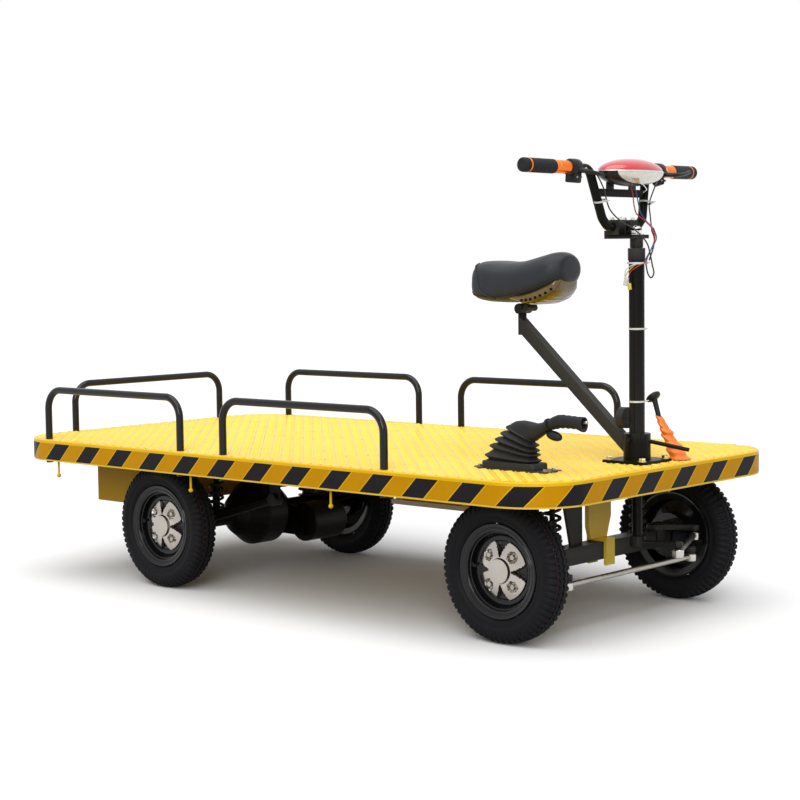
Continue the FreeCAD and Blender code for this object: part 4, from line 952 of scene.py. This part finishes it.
# Coil springs: round steel wire wound between the axles and the rails, over black dampers with a cup
# at each end that the spring sits in. Both are painted satin black.
RAIL_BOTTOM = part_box("edge_rails")[0].z
SPRING_TURNS = 6.5
COIL_R = 0.019
WIRE_R = 0.0042
SEAT_R = 0.023
SEAT_THICK = 0.004
BARREL_R = 0.011
BARREL_LENGTH = 0.070
PISTON_R = 0.007
DAMPER_SIDES = 24
SPRING_FEET = (
    # x, y, foot height
    (0.744, 0.180, 0.196),
    (0.744, -0.180, 0.196),
    (-0.454, 0.180, 0.198),
    (-0.454, -0.180, 0.198),
)
for number, (x, y, foot) in enumerate(SPRING_FEET):
    wire = []
    steps = 150
    for step in range(steps + 1):
        share = step / steps
        angle = 2 * math.pi * SPRING_TURNS * share
        rise = foot + 0.005 + (RAIL_BOTTOM - foot - 0.010) * share
        wire.append(Vector((x + COIL_R * math.cos(angle), y + COIL_R * math.sin(angle), rise)))
    points = []
    faces = []
    ring = 8
    for index, place in enumerate(wire):
        ahead = wire[min(index + 1, steps)] - wire[max(index - 1, 0)]
        side = Vector((place.x - x, place.y - y, 0)).normalized()
        up = ahead.normalized().cross(side)
        for step in range(ring):
            turn = 2 * math.pi * step / ring
            points.append(place + side * WIRE_R * math.cos(turn) + up * WIRE_R * math.sin(turn))
    for index in range(steps):
        for step in range(ring):
            after = (step + 1) % ring
            faces.append((index * ring + step, index * ring + after,
                          (index + 1) * ring + after, (index + 1) * ring + step))
    coil = mesh_piece(f"coil_spring_{number}", points, faces, satin_black, "chassis",
                      smooth=True)
    damper = []
    damper_faces = []
    seat = foot + SEAT_THICK
    barrel_top = foot + BARREL_LENGTH
    upper_seat = RAIL_BOTTOM - SEAT_THICK
    damper_profile = ((foot, SEAT_R), (seat, SEAT_R), (seat, BARREL_R), (barrel_top, BARREL_R),
                      (barrel_top, PISTON_R), (upper_seat, PISTON_R), (upper_seat, SEAT_R),
                      (RAIL_BOTTOM, SEAT_R))
    for level, radius in damper_profile:
        for step in range(DAMPER_SIDES):
            turn = 2 * math.pi * step / DAMPER_SIDES
            damper.append((x + radius * math.cos(turn), y + radius * math.sin(turn), level))
    for index in range(len(damper_profile) - 1):
        for step in range(DAMPER_SIDES):
            after = (step + 1) % DAMPER_SIDES
            damper_faces.append((index * DAMPER_SIDES + step, index * DAMPER_SIDES + after,
                                 (index + 1) * DAMPER_SIDES + after, (index + 1) * DAMPER_SIDES + step))
    rod_piece = mesh_piece(f"damper_{number}", damper, damper_faces, satin_black, "chassis")
    smooth_by_angle(rod_piece, 40)
    if number == 0:
        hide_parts("springs")

# Valves: a short rubber stem with a screwed cap, standing in each rim's dish, snapped through a hole
# in the well.
VALVE_PROFILE = (
    # in from the axle, how far out from the wheel's middle plane, radius
    (0.0905, 0.0120, 0.0052),
    (0.0880, 0.0140, 0.0050),
    (0.0875, 0.0145, 0.0036),
    (0.0790, 0.0200, 0.0034),
    (0.0788, 0.0202, 0.0040),
    (0.0730, 0.0238, 0.0036),
)
for wheel, outward in WHEELS.items():
    low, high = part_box(f"tyre_{wheel}")
    centre = (low + high) / 2
    stem = [centre + Vector((-reach, outward * out, 0.006)) for reach, out, radius in VALVE_PROFILE]
    valve = tube(f"valve_{wheel}", stem, [radius for reach, out, radius in VALVE_PROFILE], grip_black,
                 f"wheel_{wheel}", sides=16)
    smooth_by_angle(valve, 40)

# Linkage and board: zinc plated rods with pressed steel ball joints at their ends, below the arms,
# and a pale plywood board screwed under the frame.
dress(zinc, "tie_rod", "drag_link")
JOINT_PROFILE = (
    # height from the joint's middle, radius: pressed cup below, dust boot above
    (-0.0130, 0.0040),
    (-0.0128, 0.0095),
    (-0.0110, 0.0130),
    (-0.0060, 0.0142),
    (0.0060, 0.0142),
    (0.0074, 0.0128),
    (0.0078, 0.0120),
)
LINK_JOINTS = (
    # name, body, place
    ("joint_pitman", "drag_link", (0.954, 0.045, 0.1815)),
    ("joint_drag_arm", "drag_link", (0.832, 0.307, 0.1815)),
    ("joint_tie_right", "tie_rod", (0.850, -0.262, 0.1335)),
    ("joint_tie_left", "tie_rod", (0.850, 0.262, 0.1335)),
)
joint_steel = mottled("joint_steel", (0.44, 0.42, 0.38), (0.62, 0.60, 0.55), 0.2, metallic=1.0, scale=60,
                      spread=0.08)


def upright_rings(centre, profile, steps):
    """Level rings round an upright axis, from heights over centre and radii."""
    turns = [2 * math.pi * step / steps for step in range(steps)]
    return [[Vector(centre) + Vector((radius * math.cos(turn), radius * math.sin(turn), rise))
             for turn in turns] for rise, radius in profile]


for name, body, place in LINK_JOINTS:
    skin(name, upright_rings(place, JOINT_PROFILE, 36), joint_steel, body, angle=40)
plywood = mottled("pale_board", (0.62, 0.47, 0.36), (0.74, 0.60, 0.48), 0.6, scale=12, bump=0.1, grain=90)
dress(plywood, "tray_board")

# Grips: soft black rubber with shallow rings, an end cap with fine ribs that a thin orange ring
# divides off, and an orange anodised collar screwed on behind each grip
orange_metal = mottled("orange_anodised", (0.90, 0.16, 0.008), (1.0, 0.26, 0.015), 0.2, metallic=0.6,
                       scale=30)
BAR_END = Vector((0.795, 0.349, 1.110))
BAR_BEND = Vector((0.812, 0.118, 1.107))
BAR_REACH = BAR_END.y - BAR_BEND.y


def along_bar(side, reach):
    """The point of the handlebar's outer run that lies reach metres in from its end."""
    place = BAR_END.lerp(BAR_BEND, reach / BAR_REACH)
    return Vector((place.x, side * place.y, place.z))


def turned(name, side, profile, material, body, sides=40):
    """A turned piece on the handlebar's outer run, from reaches and radii."""
    path = [along_bar(side, reach) for reach, radius in profile]
    return tube(name, path, [radius for reach, radius in profile], material, body, sides)


CAP_PROFILE = [(-0.0040, 0.0100), (-0.0034, 0.0104), (-0.0034, 0.0140), (-0.0020, 0.0162), (0.0005, 0.0168)]
for rib in range(4):
    reach = 0.0012 + 0.0030 * rib
    CAP_PROFILE += [(reach, 0.0169), (reach + 0.0018, 0.0169), (reach + 0.0021, 0.0162),
                    (reach + 0.0027, 0.0162)]
CAP_PROFILE += [(0.0134, 0.0165), (0.0140, 0.0120)]
RUBBER_PROFILE = [(0.0190, 0.0120), (0.0194, 0.0158), (0.0204, 0.0168)]
for rib in range(12):
    reach = 0.0215 + 0.0066 * rib
    RUBBER_PROFILE += [(reach, 0.0169), (reach + 0.0042, 0.0170), (reach + 0.0046, 0.0163),
                       (reach + 0.0062, 0.0163)]
RUBBER_PROFILE += [(0.1018, 0.0169), (0.1036, 0.0160), (0.1040, 0.0120)]
RING_PROFILE = [(0.0142, 0.0120), (0.0144, 0.0163), (0.0150, 0.0167), (0.0182, 0.0167), (0.0188, 0.0163),
                (0.0190, 0.0120)]
COLLAR_PROFILE = [(0.1042, 0.0120), (0.1044, 0.0152), (0.1054, 0.0160), (0.1140, 0.0160), (0.1146, 0.0153),
                  (0.1166, 0.0153), (0.1172, 0.0159), (0.1500, 0.0159), (0.1506, 0.0150), (0.1566, 0.0150),
                  (0.1570, 0.0120)]
HOUSING_PROFILE = [(0.1574, 0.0125), (0.1576, 0.0170), (0.1590, 0.0196), (0.1612, 0.0206), (0.1720, 0.0209),
                   (0.1728, 0.0200), (0.1738, 0.0200), (0.1746, 0.0209), (0.1866, 0.0205), (0.1896, 0.0190),
                   (0.1916, 0.0160), (0.1920, 0.0125)]
GRIP_PIECES = (
    # name, profile, material, slot, CAD node that the right-hand one stands for
    ("grip_cap", CAP_PROFILE, grip_black, "grip_rubber", None),
    ("grip_sleeve", RUBBER_PROFILE, grip_black, "grip_rubber", "grips"),
    ("grip_ring", RING_PROFILE, orange_metal, "grip_orange", None),
    ("grip_collar", COLLAR_PROFILE, orange_metal, "grip_orange", "grip_collars"),
    ("control_ring", HOUSING_PROFILE, control_black, "control_black", "bar_controls"),
)
for place, side in (("right", -1), ("left", 1)):
    for name, profile, material, slot, node in GRIP_PIECES:
        piece = turned(f"{name}_{place}", side, profile, material, "steering")
        smooth_by_angle(piece, 32)
        if node and side < 0:
            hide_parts(node)

# Controls on the bar: moulded black switch block and throttle block under their rings, each with
# a parting line and screws, and a slim cast lever blade on its pivot pin at each side


def block(name, centre, size, edge, material, body, turn=0.0):
    """A moulded block with rounded edges, turned about the bar's own line."""
    work = bmesh.new()
    bmesh.ops.create_cube(work, size=1.0)
    bmesh.ops.scale(work, vec=size, verts=work.verts)
    bmesh.ops.bevel(work, geom=work.edges[:], offset=edge, segments=4, profile=0.5, affect="EDGES")
    bmesh.ops.rotate(work, matrix=Matrix.Rotation(turn, 3, "Y"), verts=work.verts)
    bmesh.ops.translate(work, vec=centre, verts=work.verts)
    points = [vert.co.copy() for vert in work.verts]
    faces = [[vert.index for vert in face.verts] for face in work.faces]
    work.free()
    piece = mesh_piece(name, points, faces, material, body)
    smooth_by_angle(piece, 40)
    return piece


BAR_BLOCKS = (
    # name, centre, size, edge radius, material, turn in radians
    ("switch_block", (0.808, -0.174, 1.0850), (0.032, 0.025, 0.0250), 0.0035, control_black, 0.10),
    ("switch_seam", (0.808, -0.174, 1.0850), (0.0326, 0.0012, 0.0256), 0.0005, grip_black, 0.10),
    ("switch_rocker", (0.808, -0.1875, 1.0850), (0.014, 0.0036, 0.010), 0.0012, control_black, 0.10),
    ("throttle_block", (0.811, 0.174, 1.0860), (0.030, 0.026, 0.0270), 0.0100, control_black, -0.25),
    ("throttle_seam", (0.811, 0.174, 1.0860), (0.0304, 0.0012, 0.0274), 0.0005, grip_black, -0.25),
)
for name, centre, size, edge, material, turn in BAR_BLOCKS:
    block(name, centre, size, edge, material, "steering", turn)
screw_places = ((0.8242, -0.1815, 1.0850), (0.8242, -0.1665, 1.0850),
                (0.8262, 0.1665, 1.0850), (0.8262, 0.1815, 1.0850))
bolt_set("control_screws", screw_places, (0.0024, 0.0016, 0.0027), zinc, "steering", Vector((1, 0, 0)))
LEVER_BLADES = (
    # side, corners of the blade from its perch outward
    ("right", ((0.822, -0.172, 1.1020), (0.838, -0.166, 1.0990), (0.850, -0.152, 1.0950),
               (0.855, -0.130, 1.0915), (0.853, -0.112, 1.0905))),
    ("left", ((0.822, 0.172, 1.1020), (0.840, 0.176, 1.0990), (0.854, 0.192, 1.0980),
              (0.856, 0.222, 1.1010), (0.852, 0.256, 1.1080))),
)
BLADE_SHARES = (0, 0.25, 0.8, 0.96, 1)
BLADE_RADII = (0.0075, 0.0056, 0.0044, 0.0046, 0.0022)
for place, corners in LEVER_BLADES:
    path = smooth_path(corners, 8)
    count = len(path) - 1
    widths = [float(np.interp(step / count, BLADE_SHARES, BLADE_RADII)) for step in range(count + 1)]
    tube(f"lever_blade_{place}", path, widths, control_black, "steering", sides=16)
    pivot = Vector(corners[1]) + Vector((0, 0, 0.0046))
    bolt_set(f"lever_pin_{place}", [pivot], (0.0036, 0.0034, 0.0046), zinc, "steering")

# Handlebar clamp: two black blocks over a folded plate, with four zinc bolts and the stem's big
# chromed nut on its washer
nut_chrome = mottled("nut_chrome", (0.62, 0.62, 0.60), (0.78, 0.78, 0.76), 0.14, metallic=1.0, scale=40,
                     spread=0.06)
BLOCK_TOP = 0.9858
bolt_places = [(x, y, BLOCK_TOP) for x in (0.8135, 0.8365) for y in (-0.026, 0.026)]
bolt_set("clamp_bolts", bolt_places, (0.0058, 0.0064, 0.0072), nut_chrome, "steering")
nut_piece = bolt_set("stem_nut", [(COLUMN.x, 0, 0.9500)], (0.0150, 0.0120, 0.0185), nut_chrome, "steering")
smooth_by_angle(nut_piece, 28)
DOME_PROFILE = (
    # height, radius
    (0.9612, 0.0120),
    (0.9640, 0.0116),
    (0.9680, 0.0100),
    (0.9708, 0.0070),
    (0.9722, 0.0030),
)
skin("stem_nut_dome", upright_rings(COLUMN, DOME_PROFILE, 32), nut_chrome, "steering")
JAW_REAR = 0.8076
JAW_FRONT = 0.8424
jaw_lines = []
jaw_faces = []
for low_y, high_y in ((-0.0424, -0.0096), (0.0096, 0.0424)):
    first = len(jaw_lines)
    for z in (0.9694, 0.9706):
        jaw_lines += [(JAW_REAR, low_y, z), (JAW_FRONT, low_y, z),
                      (JAW_FRONT, high_y, z), (JAW_REAR, high_y, z)]
    jaw_faces += [[first + corner for corner in face] for face in
                  ((0, 1, 5, 4), (1, 2, 6, 5), (2, 3, 7, 6), (3, 0, 4, 7))]
mesh_piece("clamp_parting", jaw_lines, jaw_faces, tape_black, "steering")

# Headlamp: a red gloss cowl over a black shell, a bright rim bead between them, and a clear fluted
# lens in front with an amber element low on its right side
cowl_red = mottled("cowl_red", (0.60, 0.020, 0.030), (0.70, 0.05, 0.06), 0.2, coat=0.7, scale=6, bump=0.005,
                   spread=0.05)
dress(cowl_red, "lamp_cowl")
dress(control_black, "lamp_body")
LAMP_CENTRE = Vector((0.849, 0, 1.099))
LAMP_REACH = Vector((0.058, 0.110, 0.033))
LENS_BACK = 0.879


def lamp_point(around, height, swell=1.0):
    """A point of the lamp's skin at an angle round it and a height from its middle."""
    ring = math.sqrt(max(1 - (height / LAMP_REACH.z) ** 2, 0)) * swell
    return LAMP_CENTRE + Vector((LAMP_REACH.x * ring * math.cos(around),
                                 LAMP_REACH.y * ring * math.sin(around), height))


bead_path = [lamp_point(2 * math.pi * step / 96, 0.0020, 1.004) for step in range(97)]
tube("lamp_bead", bead_path, 0.0013, nut_chrome, "steering", sides=8)
lens_clear = mottled("lamp_lens_clear", (0.60, 0.56, 0.48), (0.86, 0.84, 0.80), 0.16, metallic=0.55,
                     coat=1.0, scale=70, bump=0.3, grain=900, spread=0.08)
lens_amber = mottled("lamp_amber", (0.85, 0.34, 0.01), (0.95, 0.46, 0.02), 0.2, coat=1.0, scale=70,
                     bump=0.3, grain=900)
lens_points = []
lens_faces = []
lens_colours = []
LENS_TURN = math.acos((LENS_BACK - LAMP_CENTRE.x) / LAMP_REACH.x)
LENS_FLUTES = 34
LENS_ROWS = 12
LENS_TOP = 0.0016
LENS_DROP = 0.0300
for flute in range(4 * LENS_FLUTES + 1):
    share = flute / (4 * LENS_FLUTES)
    swell = 1.0 + (0.0, 0.006, 0.009, 0.006)[flute % 4]
    for row in range(LENS_ROWS + 1):
        height = LENS_TOP - LENS_DROP * row / LENS_ROWS
        ring = math.sqrt(max(1 - (height / LAMP_REACH.z) ** 2, 0.02))
        reach = min(math.acos(min((LENS_BACK - LAMP_CENTRE.x) / (LAMP_REACH.x * ring), 1)), LENS_TURN)
        point = lamp_point(reach * (2 * share - 1), height, swell if row < LENS_ROWS else 1.0)
        lens_points.append(Vector((max(point.x, LENS_BACK), point.y, point.z)))
for flute in range(4 * LENS_FLUTES):
    for row in range(LENS_ROWS):
        here = flute * (LENS_ROWS + 1) + row
        lens_faces.append((here, here + 1, here + LENS_ROWS + 2, here + LENS_ROWS + 1))
        lens_colours.append(1 if 24 < flute < 44 and 6 < row < 11 else 0)
lens = mesh_piece("lamp_glass", lens_points, lens_faces, lens_clear, "steering")
lens.data.materials.append(lens_amber)
lens.data.polygons.foreach_set("material_index", lens_colours)
smooth_by_angle(lens, 12)
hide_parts("lamp_lens")
edge_path = [lamp_point(LENS_TURN * (2 * step / 40 - 1), 0.0004, 1.008) for step in range(41)]
tube("lamp_glass_edge", edge_path, 0.0016, lens_clear, "steering", sides=8)

# Wiring: thin black cables down both risers, red and blue lamp leads to a plug, and white nylon ties. What
# crosses from the bar to the fixed column is left on neither body.
wire_black = mottled("wire_black", (0.010, 0.010, 0.011), (0.02, 0.02, 0.022), 0.42, scale=60)
wire_red = mottled("wire_red", (0.45, 0.008, 0.012), (0.55, 0.02, 0.02), 0.4, scale=60)
wire_blue = mottled("wire_blue", (0.02, 0.06, 0.16), (0.03, 0.10, 0.24), 0.4, scale=60)
nylon = mottled("tie_nylon", (0.72, 0.72, 0.68), (0.84, 0.84, 0.80), 0.4, scale=60)
plug_yellow = mottled("plug_yellow", (0.72, 0.55, 0.05), (0.84, 0.68, 0.10), 0.4, scale=60)
BAR_WIRES = (
    # name, radius, colour, corners from the controls or the lamp down to the clamp
    ("cable_right", 0.0017, wire_black, (
        (0.828, -0.160, 1.100), (0.838, -0.128, 1.094), (0.839, -0.098, 1.062), (0.839, -0.086, 1.036),
        (0.841, -0.074, 1.010), (0.856, -0.056, 0.985), (0.880, -0.036, 0.966))),
    ("cable_left", 0.0017, wire_black, (
        (0.828, 0.160, 1.092), (0.838, 0.128, 1.078), (0.839, 0.104, 1.046), (0.839, 0.094, 1.024),
        (0.843, 0.092, 0.998), (0.858, 0.074, 0.974), (0.880, 0.044, 0.960))),
    ("lead_red", 0.0015, wire_red, (
        (0.858, -0.016, 1.069), (0.862, -0.010, 1.048), (0.858, 0.002, 1.020), (0.856, 0.016, 1.000),
        (0.866, 0.034, 0.984), (0.884, 0.040, 0.966))),
    ("lead_blue", 0.0015, wire_blue, (
        (0.862, -0.006, 1.067), (0.868, -0.002, 1.046), (0.864, 0.012, 1.022), (0.860, 0.028, 1.000),
        (0.868, 0.040, 0.982), (0.886, 0.044, 0.964))),
    ("lead_silver", 0.0013, nut_chrome, (
        (0.884, -0.012, 1.074), (0.880, 0.010, 1.068), (0.872, 0.034, 1.058), (0.850, 0.052, 1.052))),
)
for name, radius, colour, corners in BAR_WIRES:
    tube(name, smooth_path(corners, 8), radius, colour, "steering", sides=10)
CROSSING_WIRES = (
    # name, radius, colour, corners from the clamp down to the fixed column
    ("cable_crossing", 0.0018, wire_black, (
        (0.880, -0.036, 0.966), (0.896, -0.022, 0.946), (0.902, -0.006, 0.926), (0.898, 0.012, 0.900),
        (0.892, 0.028, 0.878), (0.886, 0.044, 0.858), (0.876, 0.048, 0.846), (0.874, 0.036, 0.856),
        (0.882, 0.016, 0.880))),
    ("cable_left_crossing", 0.0018, wire_black, (
        (0.880, 0.044, 0.960), (0.893, 0.036, 0.940), (0.894, 0.028, 0.915), (0.890, 0.018, 0.888))),
    ("lead_red_crossing", 0.0015, wire_red, (
        (0.884, 0.040, 0.966), (0.900, 0.028, 0.946), (0.899, 0.022, 0.926), (0.893, 0.010, 0.900),
        (0.889, 0.006, 0.882))),
    ("lead_blue_crossing", 0.0015, wire_blue, (
        (0.886, 0.044, 0.964), (0.903, 0.030, 0.942), (0.901, 0.018, 0.922), (0.894, 0.002, 0.896),
        (0.889, -0.002, 0.880))),
)
for name, radius, colour, corners in CROSSING_WIRES:
    wire = tube(name, smooth_path(corners, 8), radius, colour, None, sides=10)
    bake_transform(wire)
PLUG_LEADS = (
    # name, radius, colour, corners on the column's right side
    ("plug_lead_red", 0.0013, wire_red, (
        (0.888, -0.008, 0.880), (0.880, -0.020, 0.872), (0.868, -0.027, 0.862), (0.862, -0.030, 0.846))),
    ("plug_lead_white", 0.0013, nylon, (
        (0.885, -0.012, 0.880), (0.874, -0.024, 0.878), (0.858, -0.033, 0.866), (0.856, -0.036, 0.846))),
    ("plug_lead_yellow", 0.0013, plug_yellow, (
        (0.880, -0.016, 0.882), (0.866, -0.026, 0.868), (0.854, -0.028, 0.852), (0.860, -0.030, 0.836),
        (0.868, -0.027, 0.826))),
)
for name, radius, colour, corners in PLUG_LEADS:
    tube(name, smooth_path(corners, 8), radius, colour, "chassis", sides=8)
PLUG_EDGE = 0.0012
block("plug_white", (0.858, -0.033, 0.838), (0.011, 0.007, 0.020), PLUG_EDGE, nylon, "chassis",
      0.2)
block("plug_yellow", (0.866, -0.030, 0.826), (0.009, 0.006, 0.016), PLUG_EDGE, plug_yellow, "chassis",
      -0.15)
TIES = (
    # name, body, centre of what is tied, way it runs, radius
    ("tie_top", "chassis", (0.866, 0, 0.882), (0, 0, 1), 0.0232),
    ("tie_middle", "chassis", (0.866, 0, 0.724), (0, 0, 1), 0.0200),
    ("tie_low", "chassis", (0.866, 0, 0.548), (0, 0, 1), 0.0200),
    ("tie_riser_right", "steering", (0.828, -0.0955, 1.030), (0, -0.29, 1), 0.0148),
    ("tie_riser_left", "steering", (0.828, 0.0955, 1.030), (0, 0.29, 1), 0.0148),
)
TIE_HALF = 0.0022
TIE_THICK = 0.0012
for name, body, centre, way, radius in TIES:
    axis = Vector(way).normalized()
    first = axis.orthogonal().normalized()
    second = axis.cross(first)
    band = []
    spokes = [first * math.cos(turn) + second * math.sin(turn)
              for turn in (2 * math.pi * step / 40 for step in range(40))]
    for rise, reach in ((-TIE_HALF, -TIE_THICK), (-TIE_HALF, 0), (TIE_HALF, 0), (TIE_HALF, -TIE_THICK)):
        band.append([Vector(centre) + axis * rise + spoke * (radius + reach) for spoke in spokes])
    band.append(band[0])
    skin(name, band, nylon, body, closed=False, angle=30)
    head = Vector(centre) + Vector((0.72, 0.69, 0)) * (radius + TIE_THICK)
    block(f"{name}_head", head, (0.0060, 0.0050, 0.0052), 0.0010, nylon, body)
    tail = [head, head + Vector((0.003, 0.003, 0.001)), head + Vector((0.005, 0.006, 0.002))]
    tube(f"{name}_tail", smooth_path(tail, 4), 0.0011, nylon, body, sides=6)

# Studio: a pale floor under an even sky. Floor and sky are white to the eye and in reflections,
# with the soft shadow kept, and dimmer as lamps, so that the object isn't lit from below.
floor_mesh = bpy.data.meshes.new("floor")
floor_mesh.from_pydata([(-60, -60, 0), (60, -60, 0), (60, 60, 0), (-60, 60, 0)], [], [(0, 1, 2, 3)])
floor = bpy.data.objects.new("floor", floor_mesh)
bpy.context.collection.objects.link(floor)
floor_paint = bpy.data.materials.new("floor_pale")
shader, tree, new = finish_node(floor_paint)
shader.inputs["Base Color"].default_value = (0.16, 0.16, 0.16, 1)
shader.inputs["Roughness"].default_value = 0.9
seen = new("ShaderNodeBsdfDiffuse")
seen.inputs["Color"].default_value = (0.97, 0.97, 0.97, 1)


def straight_rays(tree):
    """One for rays that come from the camera, from a reflection or through glass, else nought."""
    rays = tree.nodes.new("ShaderNodeLightPath")
    reflected = tree.nodes.new("ShaderNodeMath")
    reflected.operation = "MAXIMUM"
    tree.links.new(rays.outputs["Is Camera Ray"], reflected.inputs[0])
    tree.links.new(rays.outputs["Is Glossy Ray"], reflected.inputs[1])
    passed = tree.nodes.new("ShaderNodeMath")
    passed.operation = "MAXIMUM"
    tree.links.new(reflected.outputs["Value"], passed.inputs[0])
    tree.links.new(rays.outputs["Is Transmission Ray"], passed.inputs[1])
    return passed.outputs["Value"]


floor_choice = new("ShaderNodeMixShader")
tree.links.new(straight_rays(tree), floor_choice.inputs["Fac"])
tree.links.new(shader.outputs["BSDF"], floor_choice.inputs[1])
tree.links.new(seen.outputs["BSDF"], floor_choice.inputs[2])
tree.links.new(floor_choice.outputs["Shader"], tree.nodes["Material Output"].inputs["Surface"])
floor_mesh.materials.append(floor_paint)

world = bpy.data.worlds.new("studio")
bpy.context.scene.world = world
world.use_nodes = True
tree = world.node_tree
background = tree.nodes["Background"]
background.inputs["Color"].default_value = (0.95, 0.97, 1, 1)
background.inputs["Strength"].default_value = 0.32
white = tree.nodes.new("ShaderNodeBackground")
white.inputs["Color"].default_value = (1, 1, 1, 1)
white.inputs["Strength"].default_value = 1.0
choose = tree.nodes.new("ShaderNodeMixShader")
tree.links.new(straight_rays(tree), choose.inputs["Fac"])
tree.links.new(background.outputs["Background"], choose.inputs[1])
tree.links.new(white.outputs["Background"], choose.inputs[2])
tree.links.new(choose.outputs["Shader"], tree.nodes["World Output"].inputs["Surface"])

SUNS = (
    # name, direction it comes from, strength, spread in degrees
    ("sky_light", (0.15, -0.25, 1.0), 2.4, 70),
    ("side_light", (0.75, -1.0, 0.55), 1.15, 30),
)
for name, source, strength, spread in SUNS:
    sun = bpy.data.lights.new(name, "SUN")
    sun.energy = strength
    sun.angle = math.radians(spread)
    sun_object = bpy.data.objects.new(name, sun)
    bpy.context.collection.objects.link(sun_object)
    sun_object.rotation_euler = Vector(source).to_track_quat("Z", "Y").to_euler()

# Camera: at the photograph's place, with its lens and its slight roll. It stands off the cart's front
# right at saddle height and looks slightly down.
CAMERA_PLACE = Vector((3.3686, -3.6274, 0.8948))
CAMERA_YAW = math.radians(42.08)
CAMERA_PITCH = math.radians(4.40)
CAMERA_ROLL = math.radians(-0.72)
LENS = 81.47
forward = Vector((-math.sin(CAMERA_YAW) * math.cos(CAMERA_PITCH),
                  math.cos(CAMERA_YAW) * math.cos(CAMERA_PITCH), -math.sin(CAMERA_PITCH)))
right = Vector((math.cos(CAMERA_YAW), math.sin(CAMERA_YAW), 0))
up = right.cross(forward)
rolled_right = right * math.cos(CAMERA_ROLL) + up * math.sin(CAMERA_ROLL)
rolled_up = up * math.cos(CAMERA_ROLL) - right * math.sin(CAMERA_ROLL)
camera_data = bpy.data.cameras.new("camera")
camera_data.lens = LENS
camera_data.sensor_width = 36
camera = bpy.data.objects.new("camera", camera_data)
bpy.context.collection.objects.link(camera)
camera.matrix_world = Matrix((
    (rolled_right.x, rolled_up.x, -forward.x, CAMERA_PLACE.x),
    (rolled_right.y, rolled_up.y, -forward.y, CAMERA_PLACE.y),
    (rolled_right.z, rolled_up.z, -forward.z, CAMERA_PLACE.z),
    (0, 0, 0, 1),
))
bpy.context.scene.camera = camera
bpy.context.scene.view_settings.view_transform = "Standard"
